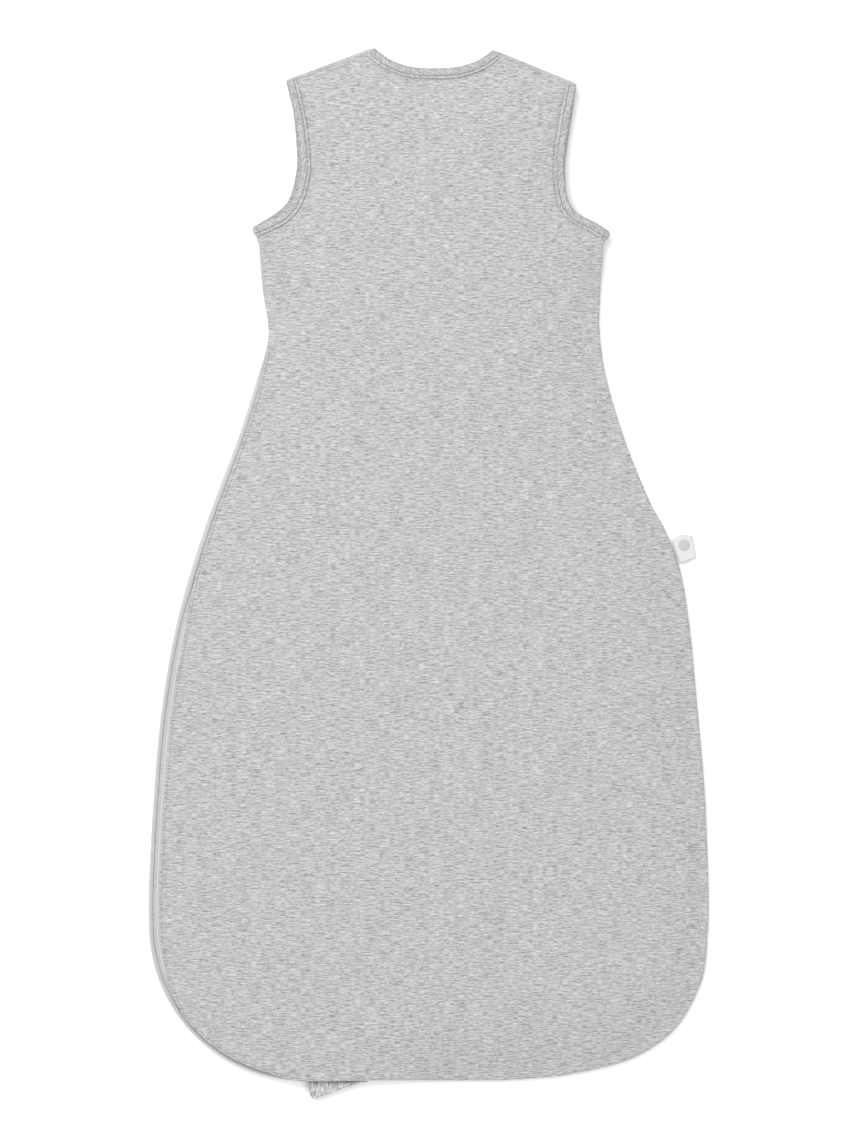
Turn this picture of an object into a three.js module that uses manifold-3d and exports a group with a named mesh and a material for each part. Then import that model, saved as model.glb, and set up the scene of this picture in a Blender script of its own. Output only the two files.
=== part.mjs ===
// A quilted baby sleeping bag lying flat on its front, back panel up, with a zip down one side.
// Millimetres. +Y runs from hem to shoulders, +Z is up, away from the surface that it lies on.
import * as THREE from 'three';
import Module from 'manifold-3d';
import { mergeVertices } from 'three/addons/utils/BufferGeometryUtils.js';

const wasm = await Module();
wasm.setup();

// ---- driving dimensions -------------------------------------------------------------------
const GAP = 0.3;                    // air left between two pieces that touch
const JERSEY = 0.8;                 // outer and lining cloth
const WADDING = 2.4;                // compressed filling of one panel
const SEAM_SPACE = 1.2;             // between outer and lining where a panel is sewn shut
const FULL_SPACE = WADDING + 2 * GAP;
const EDGE_STACK = 2 * JERSEY + SEAM_SPACE;

const SEWN_WIDTH = 10;              // flat sewn border of a panel
const BOUND_WIDTH = 15;             // the same where the edge is bound
const WADDING_STEP = 6;             // from the border to the wadding's edge
const THIRD_INSET = 40;             // where a panel's third ring lies
const DOME_INSET = 75;              // where the back panel reaches its full height

const DOME_TOP = 20;                // highest point of the back panel
const SIDE_TOP = EDGE_STACK + 0.5 + EDGE_STACK;   // back panel's top at a closed seam
const ZIP_TOP = 9.4;                // back panel's top along the zip
const HEM_END_TOP = 13.9;           // back panel's top where it covers the parked slider
const OPEN_TOP = 13.3;              // back panel's top at the neck and the armholes
const LIFT = 5.6;                   // the front's chest rides on its bindings and straps
const LIFT_START = 690;
const LIFT_END = 722;
const EARLY_LIFT = 45;              // the back starts to rise this much sooner than the front
const FOLD_INSET = 32;
const SPINE_LOW = 150;              // panels are meshed towards this stretch of the middle line
const SPINE_HIGH = 780;
const SPINE_DROP = 80;

const CORNER = new THREE.Vector2(-108, 136);      // centre of the round zip-side corner
const CORNER_RADIUS = 136;
const ZIP_HEAD_Y = 641;             // top end of the zip
const HEM_END_LEFT = -112;          // the stretch of hem that covers the parked slider
const HEM_END_RIGHT = -50;

const BINDING_PLY = 0.6;
const BINDING_WIDTH = 8;

const CHAIN_LOW = 6.8;
const CHAIN_HIGH = 9.2;
const CHAIN_CENTRE = 3.8;           // chain's middle line, measured inward from the edge
const COIL_WIDTH = 2.3;
const COIL_SPLIT = 1;
const TAPE = 0.5;
const CHANNEL_WIDTH = 9;            // clear strip that the chain lies in
const CHANNEL_TOP = 13;             // clear height over the chain under the hem
const TAPE_REACH = 14;              // inner edge of the back tape

const SLIDER_ANGLE = 5;             // degrees past the corner's lowest point
const CHAIN_END_ANGLE = 10;
const PULL_LENGTH = 22;

const FOLD_HIGH = new THREE.Vector3(-130, 644, 9.9);   // the flap folds along this line
const FOLD_LOW = new THREE.Vector3(-112, -6, 16.2);
const FLAP_HEAD_Y = 632;

const STRAP_LENGTH = 48;
const STRAP_ROOT_WIDTH = 74;
const STRAP_END_WIDTH = 52;
const STRAP_CLOTH = 0.7;
const STRAP_LOW = 0.3;              // underside of the straps' bindings
const POPPER_REACH = 31;            // popper's distance from the shoulder fold

// ---- outlines -----------------------------------------------------------------------------
// Each stretch runs counter-clockwise: down the zip side, along the hem, up the other side.
const LEFT_SIDE = [[-148, 729], [-145, 689], [-140, 650], [-150, 611], [-167, 558], [-196, 480],
  [-219, 402], [-233, 323], [-240, 245], [-244, 170], [-244, 136]];
const RIGHT_CORNER = [[62, 0], [114, 4], [166, 15], [197, 30], [218, 49], [233, 75], [241, 101],
  [244, 149]];
const RIGHT_SIDE = [[244, 149], [243, 193], [240, 258], [233, 336], [228, 389], [220, 441],
  [206, 480], [192, 506], [171, 558], [155, 611], [149, 650], [149, 680], [152, 729]];
const BACK_RIGHT_ARMHOLE = [[157, 739], [144, 747], [129, 755], [120, 768], [117, 793], [118, 812],
  [122, 838], [128, 869]];
const BACK_LEFT_ARMHOLE = [[-124, 872], [-120, 857], [-115, 833], [-112, 806], [-112, 790],
  [-118, 768], [-130, 754], [-153, 743]];
const BACK_NECK = [[57, 898], [51, 893], [41, 887], [24, 882], [4, 881], [-15, 882], [-31, 887],
  [-41, 893], [-49, 900]];
const FRONT_RIGHT_ARMHOLE = [[157, 739], [144, 747], [129, 755], [121, 768], [119, 793], [121, 812],
  [125, 838], [128, 863]];
const FRONT_LEFT_ARMHOLE = [[-121, 866], [-119, 857], [-116, 833], [-114, 806], [-115, 790],
  [-121, 768], [-132, 756], [-153, 743]];
const FRONT_NECK = [[58, 889], [51, 884], [40, 877], [22, 870], [4, 868], [-15, 870], [-33, 877],
  [-44, 884], [-52, 890]];

const vectors = (pairs) => pairs.map(([x, y]) => new THREE.Vector2(x, y));

function smooth(pairs, count) {
  return new THREE.SplineCurve(vectors(pairs)).getSpacedPoints(count);
}

function straight(from, to, count) {
  const points = [];
  for (let i = 0; i <= count; i += 1) points.push(from.clone().lerp(to, i / count));
  return points;
}

function cornerPoint(degrees, radius = CORNER_RADIUS) {
  const a = THREE.MathUtils.degToRad(degrees);
  return new THREE.Vector2(CORNER.x + radius * Math.sin(a), CORNER.y - radius * Math.cos(a));
}

function cornerArc(from, to, count) {
  const points = [];
  for (let i = 0; i <= count; i += 1) points.push(cornerPoint(from + ((to - from) * i) / count));
  return points;
}

const angleAtHemEnd = -THREE.MathUtils.radToDeg(Math.asin((CORNER.x - HEM_END_LEFT) / CORNER_RADIUS));
const hemLine = [HEM_END_RIGHT, -15, 20].map((x) => new THREE.Vector2(x, 0));

// A stretch's last point is the next one's first, so it is left off here.
function joinStretches(stretches) {
  const loop = [];
  for (const [zone, points] of stretches) {
    for (const point of points.slice(0, -1)) loop.push({ point, zone });
  }
  return loop;
}

function outline(leftArmhole, rightArmhole, neck) {
  const first = (pairs) => vectors([pairs[0]])[0];
  const last = (pairs) => vectors([pairs[pairs.length - 1]])[0];
  return joinStretches([
    ['open', [last(leftArmhole), first(LEFT_SIDE)]],
    ['side', smooth(LEFT_SIDE, 20)],
    ['zip', cornerArc(-90, angleAtHemEnd, 11)],
    ['hemEnd', [...cornerArc(angleAtHemEnd, 0, 1), ...straight(new THREE.Vector2(-90, 0),
      new THREE.Vector2(HEM_END_RIGHT, 0), 2)]],
    ['hem', [...hemLine, first(RIGHT_CORNER)]],
    ['side', smooth(RIGHT_CORNER, 9)],
    ['side', smooth(RIGHT_SIDE, 17)],
    ['side', [last(RIGHT_SIDE), first(rightArmhole)]],
    ['open', smooth(rightArmhole, 9)],
    ['open', straight(last(rightArmhole), first(neck), 3)],
    ['open', smooth(neck, 10)],
    ['open', straight(last(neck), first(leftArmhole), 3)],
    ['open', smooth(leftArmhole, 9)],
  ]);
}

// Normals point into the bag, lengthened at a corner so that an offset keeps its distance.
function inwardNormals(points, closed) {
  return points.map((point, i) => {
    const before = points[closed ? (i + points.length - 1) % points.length : Math.max(i - 1, 0)];
    const after = points[closed ? (i + 1) % points.length : Math.min(i + 1, points.length - 1)];
    const side = (a, b) => new THREE.Vector2(a.y - b.y, b.x - a.x).normalize();
    const n1 = before === point ? side(point, after) : side(before, point);
    const n2 = after === point ? n1.clone() : side(point, after);
    const mean = n1.clone().add(n2).normalize();
    return mean.multiplyScalar(Math.min(1 / mean.dot(n1), 1.4));
  });
}

const ramp = (t) => THREE.MathUtils.smoothstep(t, 0, 1);
const chest = (y) => ramp((y - LIFT_START) / (LIFT_END - LIFT_START));
const lift = (y) => LIFT * chest(y);

// ---- the two quilted panels ---------------------------------------------------------------
const borderOf = ({ zone }) => (zone === 'open' ? BOUND_WIDTH : SEWN_WIDTH);

// The ray from an edge point to the middle line, aimed lower from the chest so that it meets
// the armholes squarely. Rays never cross, so neither do the rings that are laid along them.
function spineRay(point, normal) {
  const aim = point.y - SPINE_DROP * ramp((point.y - 600) / 130);
  const target = new THREE.Vector2(0, THREE.MathUtils.clamp(aim, SPINE_LOW, SPINE_HIGH));
  const direction = target.clone().sub(point).normalize();
  const stretch = 1 / Math.max(direction.dot(normal.clone().normalize()), 0.42);
  const place = (distance) => point.clone().addScaledVector(direction, distance);
  return { direction, reach: target.distanceTo(point), stretch, place };
}

function foldCrossing(point, direction) {
  const along = new THREE.Vector2(FOLD_LOW.x - FOLD_HIGH.x, FOLD_LOW.y - FOLD_HIGH.y);
  const from = new THREE.Vector2(FOLD_HIGH.x, FOLD_HIGH.y).sub(point);
  return from.cross(along) / direction.cross(along);
}

function foldHeight(y) {
  return THREE.MathUtils.mapLinear(y, FOLD_HIGH.y, FOLD_LOW.y, FOLD_HIGH.z, FOLD_LOW.z);
}

const isZip = ({ zone, point }) => zone === 'zip' || (zone === 'side' && point.x < 0
  && point.y < ZIP_HEAD_Y);

function backEdgeTop(item) {
  if (isZip(item)) return ZIP_TOP;
  return { hemEnd: HEM_END_TOP, open: OPEN_TOP, hem: SIDE_TOP,
    side: THREE.MathUtils.lerp(SIDE_TOP, OPEN_TOP, chest(item.point.y)) }[item.zone];
}

// Five rings from the edge to the crown of the back, each point with the panel's top height.
function backRings(loop) {
  const normals = inwardNormals(loop.map(({ point }) => point), true);
  const rings = [[], [], [], [], []];
  loop.forEach((item, i) => {
    const { point } = item;
    const edgeTop = backEdgeTop(item);
    const frontTop = lift(point.y + EARLY_LIFT) + FULL_SPACE + 2 * JERSEY;
    const wadTop = Math.max(edgeTop + 0.6, frontTop + FULL_SPACE + 2 * JERSEY + 0.6, 11);
    const { direction, reach, stretch, place } = spineRay(point, normals[i]);
    const sewn = borderOf(item) * stretch;
    const wad = sewn + WADDING_STEP * stretch;
    let third = Math.max(THIRD_INSET, wad + 8);
    let thirdTop = THREE.MathUtils.lerp(wadTop, DOME_TOP, 0.6);
    let fourth = Math.max(Math.min(DOME_INSET, 0.75 * reach), third + 10);
    if (isZip(item)) {
      third = Math.max(foldCrossing(point, direction), FOLD_INSET);
      thirdTop = foldHeight(place(third).y) - 0.1;
      fourth = third + 0.5 * (reach - third);
    }
    rings[0].push([point, edgeTop, SEAM_SPACE]);
    rings[1].push([place(sewn), edgeTop, SEAM_SPACE]);
    rings[2].push([place(wad), isZip(item) ? Math.min(wadTop, thirdTop) : wadTop, FULL_SPACE]);
    rings[3].push([place(third), thirdTop, FULL_SPACE]);
    rings[4].push([place(fourth), DOME_TOP, FULL_SPACE]);
  });
  return rings;
}

// Four rings of the front, which is flat but for its lifted chest; heights are its underside.
function frontRings(loop) {
  const normals = inwardNormals(loop.map(({ point }) => point), true);
  const rays = loop.map((item, i) => ({ ...spineRay(item.point, normals[i]), border: borderOf(item) }));
  const ring = (distanceOf, space) => rays.map((ray) => {
    const point = ray.place(distanceOf(ray));
    return [point, lift(point.y), space];
  });
  return [ring(() => 0, SEAM_SPACE), ring(({ stretch, border }) => border * stretch, SEAM_SPACE),
    ring(({ stretch, border }) => (border + WADDING_STEP) * stretch, FULL_SPACE),
    ring(({ reach }) => 0.95 * reach, FULL_SPACE)];
}

function bodyGeometry(positions, faces) {
  const geometry = new THREE.BufferGeometry();
  let volume = 0;
  const vertex = (i) => new THREE.Vector3().fromArray(positions, 3 * i);
  for (const [a, b, c] of faces) volume += vertex(a).dot(vertex(b).cross(vertex(c)));
  const index = faces.flatMap(([a, b, c]) => (volume > 0 ? [a, b, c] : [a, c, b]));
  geometry.setAttribute('position', new THREE.Float32BufferAttribute(positions, 3));
  geometry.setIndex(index);
  return geometry;
}

// Triangles inside a ring, which is first cut across at both ends of the chest's slope, so that
// no triangle of the flat part carries any of it.
function capTriangles(points) {
  const parts = [];
  let rest = points.map((_, i) => i);
  for (const y of [LIFT_START, LIFT_END]) {
    const isLow = (i) => points[i].y <= y;
    const start = rest.findIndex((i, k) => isLow(i) && !isLow(rest.at(k - 1)));
    const turned = [...rest.slice(start), ...rest.slice(0, start)];
    const count = turned.filter(isLow).length;
    parts.push(turned.slice(0, count));
    rest = [turned[count - 1], ...turned.slice(count), turned[0]];
  }
  return [...parts, rest].flatMap((part) => THREE.ShapeUtils
    .triangulateShape(part.map((i) => points[i]), []).map((corners) => corners.map((k) => part[k])));
}

// A sheet between two heights: rings of points, closed by a cap inside the last ring.
function slab(rings, lowOf, highOf) {
  const n = rings[0].length;
  const layer = rings.length * n;
  const positions = [];
  for (const heightOf of [highOf, lowOf]) {
    for (const ring of rings) {
      for (const [p, height, space] of ring) positions.push(p.x, p.y, heightOf(height, space));
    }
  }
  const faces = [];
  for (let i = 0; i < n; i += 1) {
    const j = (i + 1) % n;
    for (let r = 0; r + 1 < rings.length; r += 1) {
      const [a, b, c, d] = [r * n + i, r * n + j, (r + 1) * n + j, (r + 1) * n + i];
      faces.push([a, b, c], [a, c, d]);
      faces.push([layer + a, layer + c, layer + b], [layer + a, layer + d, layer + c]);
    }
    faces.push([layer + i, layer + j, j], [layer + i, j, i]);
  }
  const start = (rings.length - 1) * n;
  const cap = rings[rings.length - 1].map(([p]) => p);
  const turn = THREE.ShapeUtils.isClockWise(cap) ? -1 : 1;
  for (const [a, b, c] of capTriangles(cap)) {
    const ccw = turn * (cap[b].clone().sub(cap[a]).cross(cap[c].clone().sub(cap[a]))) > 0;
    const [p, q] = ccw ? [b, c] : [c, b];
    faces.push([start + a, start + p, start + q], [layer + start + a, layer + start + q,
      layer + start + p]);
  }
  return bodyGeometry(positions, faces);
}

// A section of [inset, height] points carried along stations of { point, normal, height }.
function sweep(stations, section) {
  const n = section.length;
  const positions = [];
  for (const { point, normal, height } of stations) {
    for (const [inset, z] of section) {
      positions.push(point.x + normal.x * inset, point.y + normal.y * inset, height + z);
    }
  }
  const faces = [];
  for (let s = 0; s + 1 < stations.length; s += 1) {
    for (let i = 0; i < n; i += 1) {
      const j = (i + 1) % n;
      const [a, b, c, d] = [s * n + i, s * n + j, (s + 1) * n + j, (s + 1) * n + i];
      faces.push([a, c, b], [a, d, c]);
    }
  }
  const contour = section.map(([u, z]) => new THREE.Vector2(u, z));
  const clockwise = THREE.ShapeUtils.isClockWise(contour);
  const end = (stations.length - 1) * n;
  for (const [a, b, c] of THREE.ShapeUtils.triangulateShape(contour, [])) {
    const area = contour[b].clone().sub(contour[a]).cross(contour[c].clone().sub(contour[a]));
    const [p, q] = (area > 0) !== clockwise ? [b, c] : [c, b];
    faces.push([a, p, q], [end + a, end + q, end + p]);
  }
  return bodyGeometry(positions, faces);
}

function stationsAlong(points, heightOf = () => 0) {
  const normals = inwardNormals(points, false);
  return points.map((point, i) => ({ point, normal: normals[i], height: heightOf(point) }));
}

const rectangle = (inLow, inHigh, zLow, zHigh) => [[inLow, zLow], [inHigh, zLow],
  [inHigh, zHigh], [inLow, zHigh]];

// ---- solid helpers ------------------------------------------------------------------------
function toManifold(geometry) {
  const bare = geometry.clone();
  bare.deleteAttribute('normal');
  bare.deleteAttribute('uv');
  const merged = mergeVertices(bare, 1e-4);
  return new wasm.Manifold(new wasm.Mesh({ numProp: 3,
    vertProperties: new Float32Array(merged.attributes.position.array),
    triVerts: new Uint32Array(merged.index.array) }));
}

function toGeometry(manifold) {
  const mesh = manifold.getMesh();
  const geometry = new THREE.BufferGeometry();
  geometry.setAttribute('position', new THREE.BufferAttribute(mesh.vertProperties, 3));
  geometry.setIndex(new THREE.BufferAttribute(mesh.triVerts, 1));
  return geometry;
}

const cut = (geometry, ...tools) => toGeometry(tools.reduce(
  (solid, tool) => solid.subtract(toManifold(tool)), toManifold(geometry)));

const keep = (geometry, tool) => toGeometry(toManifold(geometry).intersect(toManifold(tool)));

const join = (...geometries) => toGeometry(geometries.map(toManifold).reduce((a, b) => a.add(b)));

function prism(points, low, high) {
  const shape = new THREE.Shape(points);
  const geometry = new THREE.ExtrudeGeometry(shape, { depth: high - low, bevelEnabled: false });
  return geometry.translate(0, 0, low);
}

function turned(profile, segments = 20) {
  const points = profile.map(([r, z]) => new THREE.Vector2(r, z));
  return new THREE.LatheGeometry(points, segments).rotateX(Math.PI / 2);
}

// ---- materials ----------------------------------------------------------------------------
const cloth = (color) => new THREE.MeshStandardMaterial({ color, roughness: 0.95, metalness: 0 });
const marl = cloth(0xc6c6c6);
const ribbedMarl = cloth(0xc0c0c0);
const liningCotton = cloth(0xe8e8e6);
const filling = cloth(0xf4f4f2);
const zipTape = cloth(0xcfcfcf);
const coilNylon = new THREE.MeshStandardMaterial({ color: 0xb4b4b4, roughness: 0.5, metalness: 0 });
const labelSatin = new THREE.MeshStandardMaterial({ color: 0xf5f5f5, roughness: 0.6, metalness: 0 });
const sliderMetal = new THREE.MeshStandardMaterial({ color: 0xb8b8b8, roughness: 0.35, metalness: 0.9 });
const popperPlastic = new THREE.MeshStandardMaterial({ color: 0xd0d0d0, roughness: 0.45, metalness: 0 });

const bag = new THREE.Group();

function add(name, geometry, material, parent = bag) {
  const mesh = new THREE.Mesh(geometry, material);
  mesh.name = name;
  parent.add(mesh);
  return mesh;
}

// ---- the zip's path -----------------------------------------------------------------------
const sidePoints = smooth(LEFT_SIDE, 40).filter((p) => p.y < ZIP_HEAD_Y);
const flapEndAngle = angleAtHemEnd - 0.1;
const endStartAngle = angleAtHemEnd + 0.1;
const sideBelow = (y) => sidePoints.filter((p) => p.y < y);
const frontPath = [...sidePoints.slice(0, -1), ...cornerArc(-90, CHAIN_END_ANGLE + 2, 26)];
const flapPath = [...sideBelow(FLAP_HEAD_Y).slice(0, -1), ...cornerArc(-90, flapEndAngle - 0.6, 23),
  cornerPoint(flapEndAngle)];
const endPath = [cornerPoint(endStartAngle), ...cornerArc(endStartAngle + 0.6, CHAIN_END_ANGLE, 3)];

// The back panel is cut clear of the chain, and where the hem covers it, only under the cloth.
const overhang = [new THREE.Vector2(-135, 668), ...sidePoints];
const openPath = [...overhang.slice(0, -1), ...cornerArc(-90, angleAtHemEnd, 23)];
const coveredPath = cornerArc(angleAtHemEnd - 1, CHAIN_END_ANGLE + 6, 5);

function channel(path, width, top) {
  return sweep(stationsAlong(path), rectangle(-6, width, -5, top));
}

function foldPrism(shift) {
  const low = new THREE.Vector2(FOLD_LOW.x + shift, FOLD_LOW.y);
  const slope = (FOLD_HIGH.x - FOLD_LOW.x) / (FOLD_HIGH.y - FOLD_LOW.y);
  const headX = FOLD_LOW.x + slope * (FLAP_HEAD_Y - FOLD_LOW.y) + shift;
  const head = new THREE.Vector2(headX, FLAP_HEAD_Y + shift);
  const far = [new THREE.Vector2(-300, FLAP_HEAD_Y + shift), new THREE.Vector2(-300, FOLD_LOW.y)];
  return prism([low, head, ...far], -5, 40);
}

// ---- panels -------------------------------------------------------------------------------
const backLoop = outline(BACK_LEFT_ARMHOLE, BACK_RIGHT_ARMHOLE, BACK_NECK);
const frontLoop = outline(FRONT_LEFT_ARMHOLE, FRONT_RIGHT_ARMHOLE, FRONT_NECK);

const flap = new THREE.Group();
bag.add(flap);

function addBackLayer(name, geometry, width, material) {
  const trimmed = cut(geometry, channel(openPath, width, 40), channel(coveredPath, width, CHANNEL_TOP));
  add(`back_${name}`, cut(trimmed, foldPrism(GAP / 2)), material);
  add(`back_${name}_flap`, keep(trimmed, foldPrism(-GAP / 2)), material, flap);
}

function addBackPanel() {
  const rings = backRings(backLoop);
  addBackLayer('outer', slab(rings, (z) => z - JERSEY, (z) => z), CHANNEL_WIDTH, marl);
  addBackLayer('wadding', slab(rings.slice(2), (z) => z - JERSEY - GAP - WADDING,
    (z) => z - JERSEY - GAP), TAPE_REACH + 0.6, filling);
  addBackLayer('lining', slab(rings, (z, space) => z - 2 * JERSEY - space,
    (z, space) => z - JERSEY - space), TAPE_REACH + 0.6, liningCotton);
}

function addFrontPanel() {
  const rings = frontRings(frontLoop);
  const clearOfTape = channel(frontPath, TAPE + GAP, 40);
  add('front_outer', cut(slab(rings, (z) => z, (z) => z + JERSEY), clearOfTape), marl);
  add('front_wadding', slab(rings.slice(2), (z) => z + JERSEY + GAP,
    (z) => z + JERSEY + GAP + WADDING), filling);
  add('front_lining', cut(slab(rings, (z, space) => z + JERSEY + space,
    (z, space) => z + 2 * JERSEY + space), clearOfTape), liningCotton);
}

// ---- bindings -----------------------------------------------------------------------------
// A folded strip that wraps an edge: stack is the thickness that it holds.
function bindingSection(stack, ply = BINDING_PLY) {
  return [[BINDING_WIDTH, -ply - GAP], [BINDING_WIDTH, -GAP], [-GAP, -GAP], [-GAP, stack + GAP],
    [BINDING_WIDTH, stack + GAP], [BINDING_WIDTH, stack + ply + GAP], [-ply - GAP, stack + ply + GAP],
    [-ply - GAP, -ply - GAP]];
}

function addBindings() {
  const edges = [['neck_binding', BACK_NECK, FRONT_NECK],
    ['armhole_binding_left', BACK_LEFT_ARMHOLE, FRONT_LEFT_ARMHOLE],
    ['armhole_binding_right', BACK_RIGHT_ARMHOLE, FRONT_RIGHT_ARMHOLE]];
  for (const [name, back, front] of edges) {
    const count = name === 'neck_binding' ? 10 : 9;
    const backHeight = () => OPEN_TOP - EDGE_STACK;
    add(`${name}_back`, sweep(stationsAlong(smooth(back, count), backHeight),
      bindingSection(EDGE_STACK)), ribbedMarl);
    add(`${name}_front`, sweep(stationsAlong(smooth(front, count), () => LIFT),
      bindingSection(EDGE_STACK)), ribbedMarl);
  }
}

// ---- zip ----------------------------------------------------------------------------------
function addZip() {
  const middle = (CHAIN_LOW + CHAIN_HIGH) / 2;
  const frontCoil = rectangle(CHAIN_CENTRE - COIL_SPLIT / 2 - COIL_WIDTH,
    CHAIN_CENTRE - COIL_SPLIT / 2, CHAIN_LOW, CHAIN_HIGH);
  const backCoil = rectangle(CHAIN_CENTRE + COIL_SPLIT / 2,
    CHAIN_CENTRE + COIL_SPLIT / 2 + COIL_WIDTH, CHAIN_LOW, CHAIN_HIGH);
  const backTapeStart = CHAIN_CENTRE + COIL_SPLIT / 2 + COIL_WIDTH + GAP;
  const backTape = rectangle(backTapeStart, TAPE_REACH, middle - TAPE / 2, middle + TAPE / 2);
  const coilEdge = CHAIN_CENTRE - COIL_SPLIT / 2 - COIL_WIDTH - GAP;
  const sewnLow = JERSEY + (SEAM_SPACE - TAPE) / 2;
  const frontTape = [[coilEdge, middle - TAPE / 2], [coilEdge, middle + TAPE / 2],
    [0, middle + TAPE / 2], [0, sewnLow], [5, sewnLow], [5, sewnLow + TAPE], [TAPE, sewnLow + TAPE],
    [TAPE, middle - TAPE / 2]];
  add('zip_tape_front', sweep(stationsAlong(frontPath), frontTape), zipTape);
  add('zip_coil_front', sweep(stationsAlong(frontPath), frontCoil), coilNylon);
  add('zip_tape_back_flap', sweep(stationsAlong(flapPath), backTape), zipTape, flap);
  add('zip_coil_back_flap', sweep(stationsAlong(flapPath), backCoil), coilNylon, flap);
  add('zip_tape_back_end', sweep(stationsAlong(endPath), backTape), zipTape);
  add('zip_coil_back_end', sweep(stationsAlong(endPath), backCoil), coilNylon);

  const stop = rectangle(CHAIN_CENTRE + COIL_SPLIT / 2, CHAIN_CENTRE + 3, CHAIN_LOW - 0.4,
    CHAIN_HIGH + 0.4);
  add('zip_bottom_stop', sweep(stationsAlong(cornerArc(CHAIN_END_ANGLE + 0.2,
    CHAIN_END_ANGLE + 1.4, 1)), stop), sliderMetal);
  const head = sidePoints[0];
  const past = (distance) => head.clone().add(new THREE.Vector2(0.2, 1).multiplyScalar(distance));
  const fullStop = rectangle(CHAIN_CENTRE - 2.8, CHAIN_CENTRE + 2.8, CHAIN_LOW, CHAIN_HIGH);
  add('zip_top_stop', sweep(stationsAlong([past(3), past(0.4)]), fullStop), sliderMetal);
}

function addSlider() {
  const slider = new THREE.Group();
  const seat = cornerPoint(SLIDER_ANGLE, CORNER_RADIUS - CHAIN_CENTRE);
  slider.position.set(seat.x, seat.y, 0);
  slider.rotation.z = THREE.MathUtils.degToRad(SLIDER_ANGLE);
  bag.add(slider);
  const plate = vectors([[-7, -2], [-3, -3], [4, -3], [7, -2.5], [7, 2.5], [4, 3], [-3, 3], [-7, 2]]);
  const lower = prism(plate, CHAIN_LOW - 1.3, CHAIN_LOW - 0.4);
  const upper = prism(plate, CHAIN_HIGH + 0.4, CHAIN_HIGH + 1.2);
  const web = new THREE.BoxGeometry(3, 0.5, CHAIN_HIGH - CHAIN_LOW + 1.6);
  web.translate(3, 0, (CHAIN_LOW + CHAIN_HIGH) / 2);
  const deck = CHAIN_HIGH + 1.2;
  const crown = turned([[0, deck - 0.4], [1.1, deck - 0.4], [1.1, deck + 1.5], [2.2, deck + 1.5],
    [2.2, deck + 2.1], [0, deck + 2.1]]);
  add('slider_body', join(lower, upper, web, crown), sliderMetal, slider);

  const tab = new THREE.Shape();
  tab.moveTo(0, -2.8);
  tab.lineTo(PULL_LENGTH - 3, -2.2);
  tab.absarc(PULL_LENGTH - 3, 0, 2.2, -Math.PI / 2, Math.PI / 2, false);
  tab.lineTo(0, 2.8);
  tab.absarc(0, 0, 2.8, Math.PI / 2, (3 * Math.PI) / 2, false);
  const eye = new THREE.Path();
  eye.absarc(0, 0, 1.5, 0, 2 * Math.PI, true);
  tab.holes.push(eye);
  const pull = new THREE.ExtrudeGeometry(tab, { depth: 0.9, bevelEnabled: false, curveSegments: 8 });
  add('pull_tab', pull.translate(0, 0, deck + GAP), sliderMetal, slider);
}

// ---- small tabs ---------------------------------------------------------------------------
function addGarage() {
  const plan = vectors([[-107, -0.4], [-103.6, -13], [-101.5, -15.5], [-98.5, -15.8], [-71, -5.4],
    [-60, -2.4], [-53, -0.9], [-53, -0.4]]);
  const pocket = vectors([[-105.6, 1], [-102.6, -12.4], [-100, -14], [-71, -3.6], [-62, 1]]);
  add('zip_garage', cut(prism(plan, 4, 7.4), prism(pocket, 5.2, 6.2)), ribbedMarl);
}

function addLabel() {
  const plan = vectors([[211.6, 471], [220, 476], [229.5, 475], [233, 456], [221, 451], [218.2, 452]]);
  add('side_label', prism(plan, 2.5, 3.6), labelSatin);
}

// ---- shoulder straps ----------------------------------------------------------------------
// The back's shoulder ends fold over onto the front and snap shut with one popper each.
// A strap is drawn from its root on the fold line, x along the fold and y into the bag.
function strapOutline(inset) {
  const endHalf = STRAP_END_WIDTH / 2 - inset;
  const rootHalf = STRAP_ROOT_WIDTH / 2 - inset;
  const round = 18;
  const points = [new THREE.Vector2(-rootHalf, 0.5), new THREE.Vector2(-rootHalf, 5)];
  for (let i = 0; i <= 10; i += 1) {
    const a = (Math.PI * i) / 10;
    points.push(new THREE.Vector2(-endHalf * Math.cos(a),
      STRAP_LENGTH - round + (round - inset) * Math.sin(a)));
  }
  points.push(new THREE.Vector2(rootHalf, 5), new THREE.Vector2(rootHalf, 0.5));
  return points;
}

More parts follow.
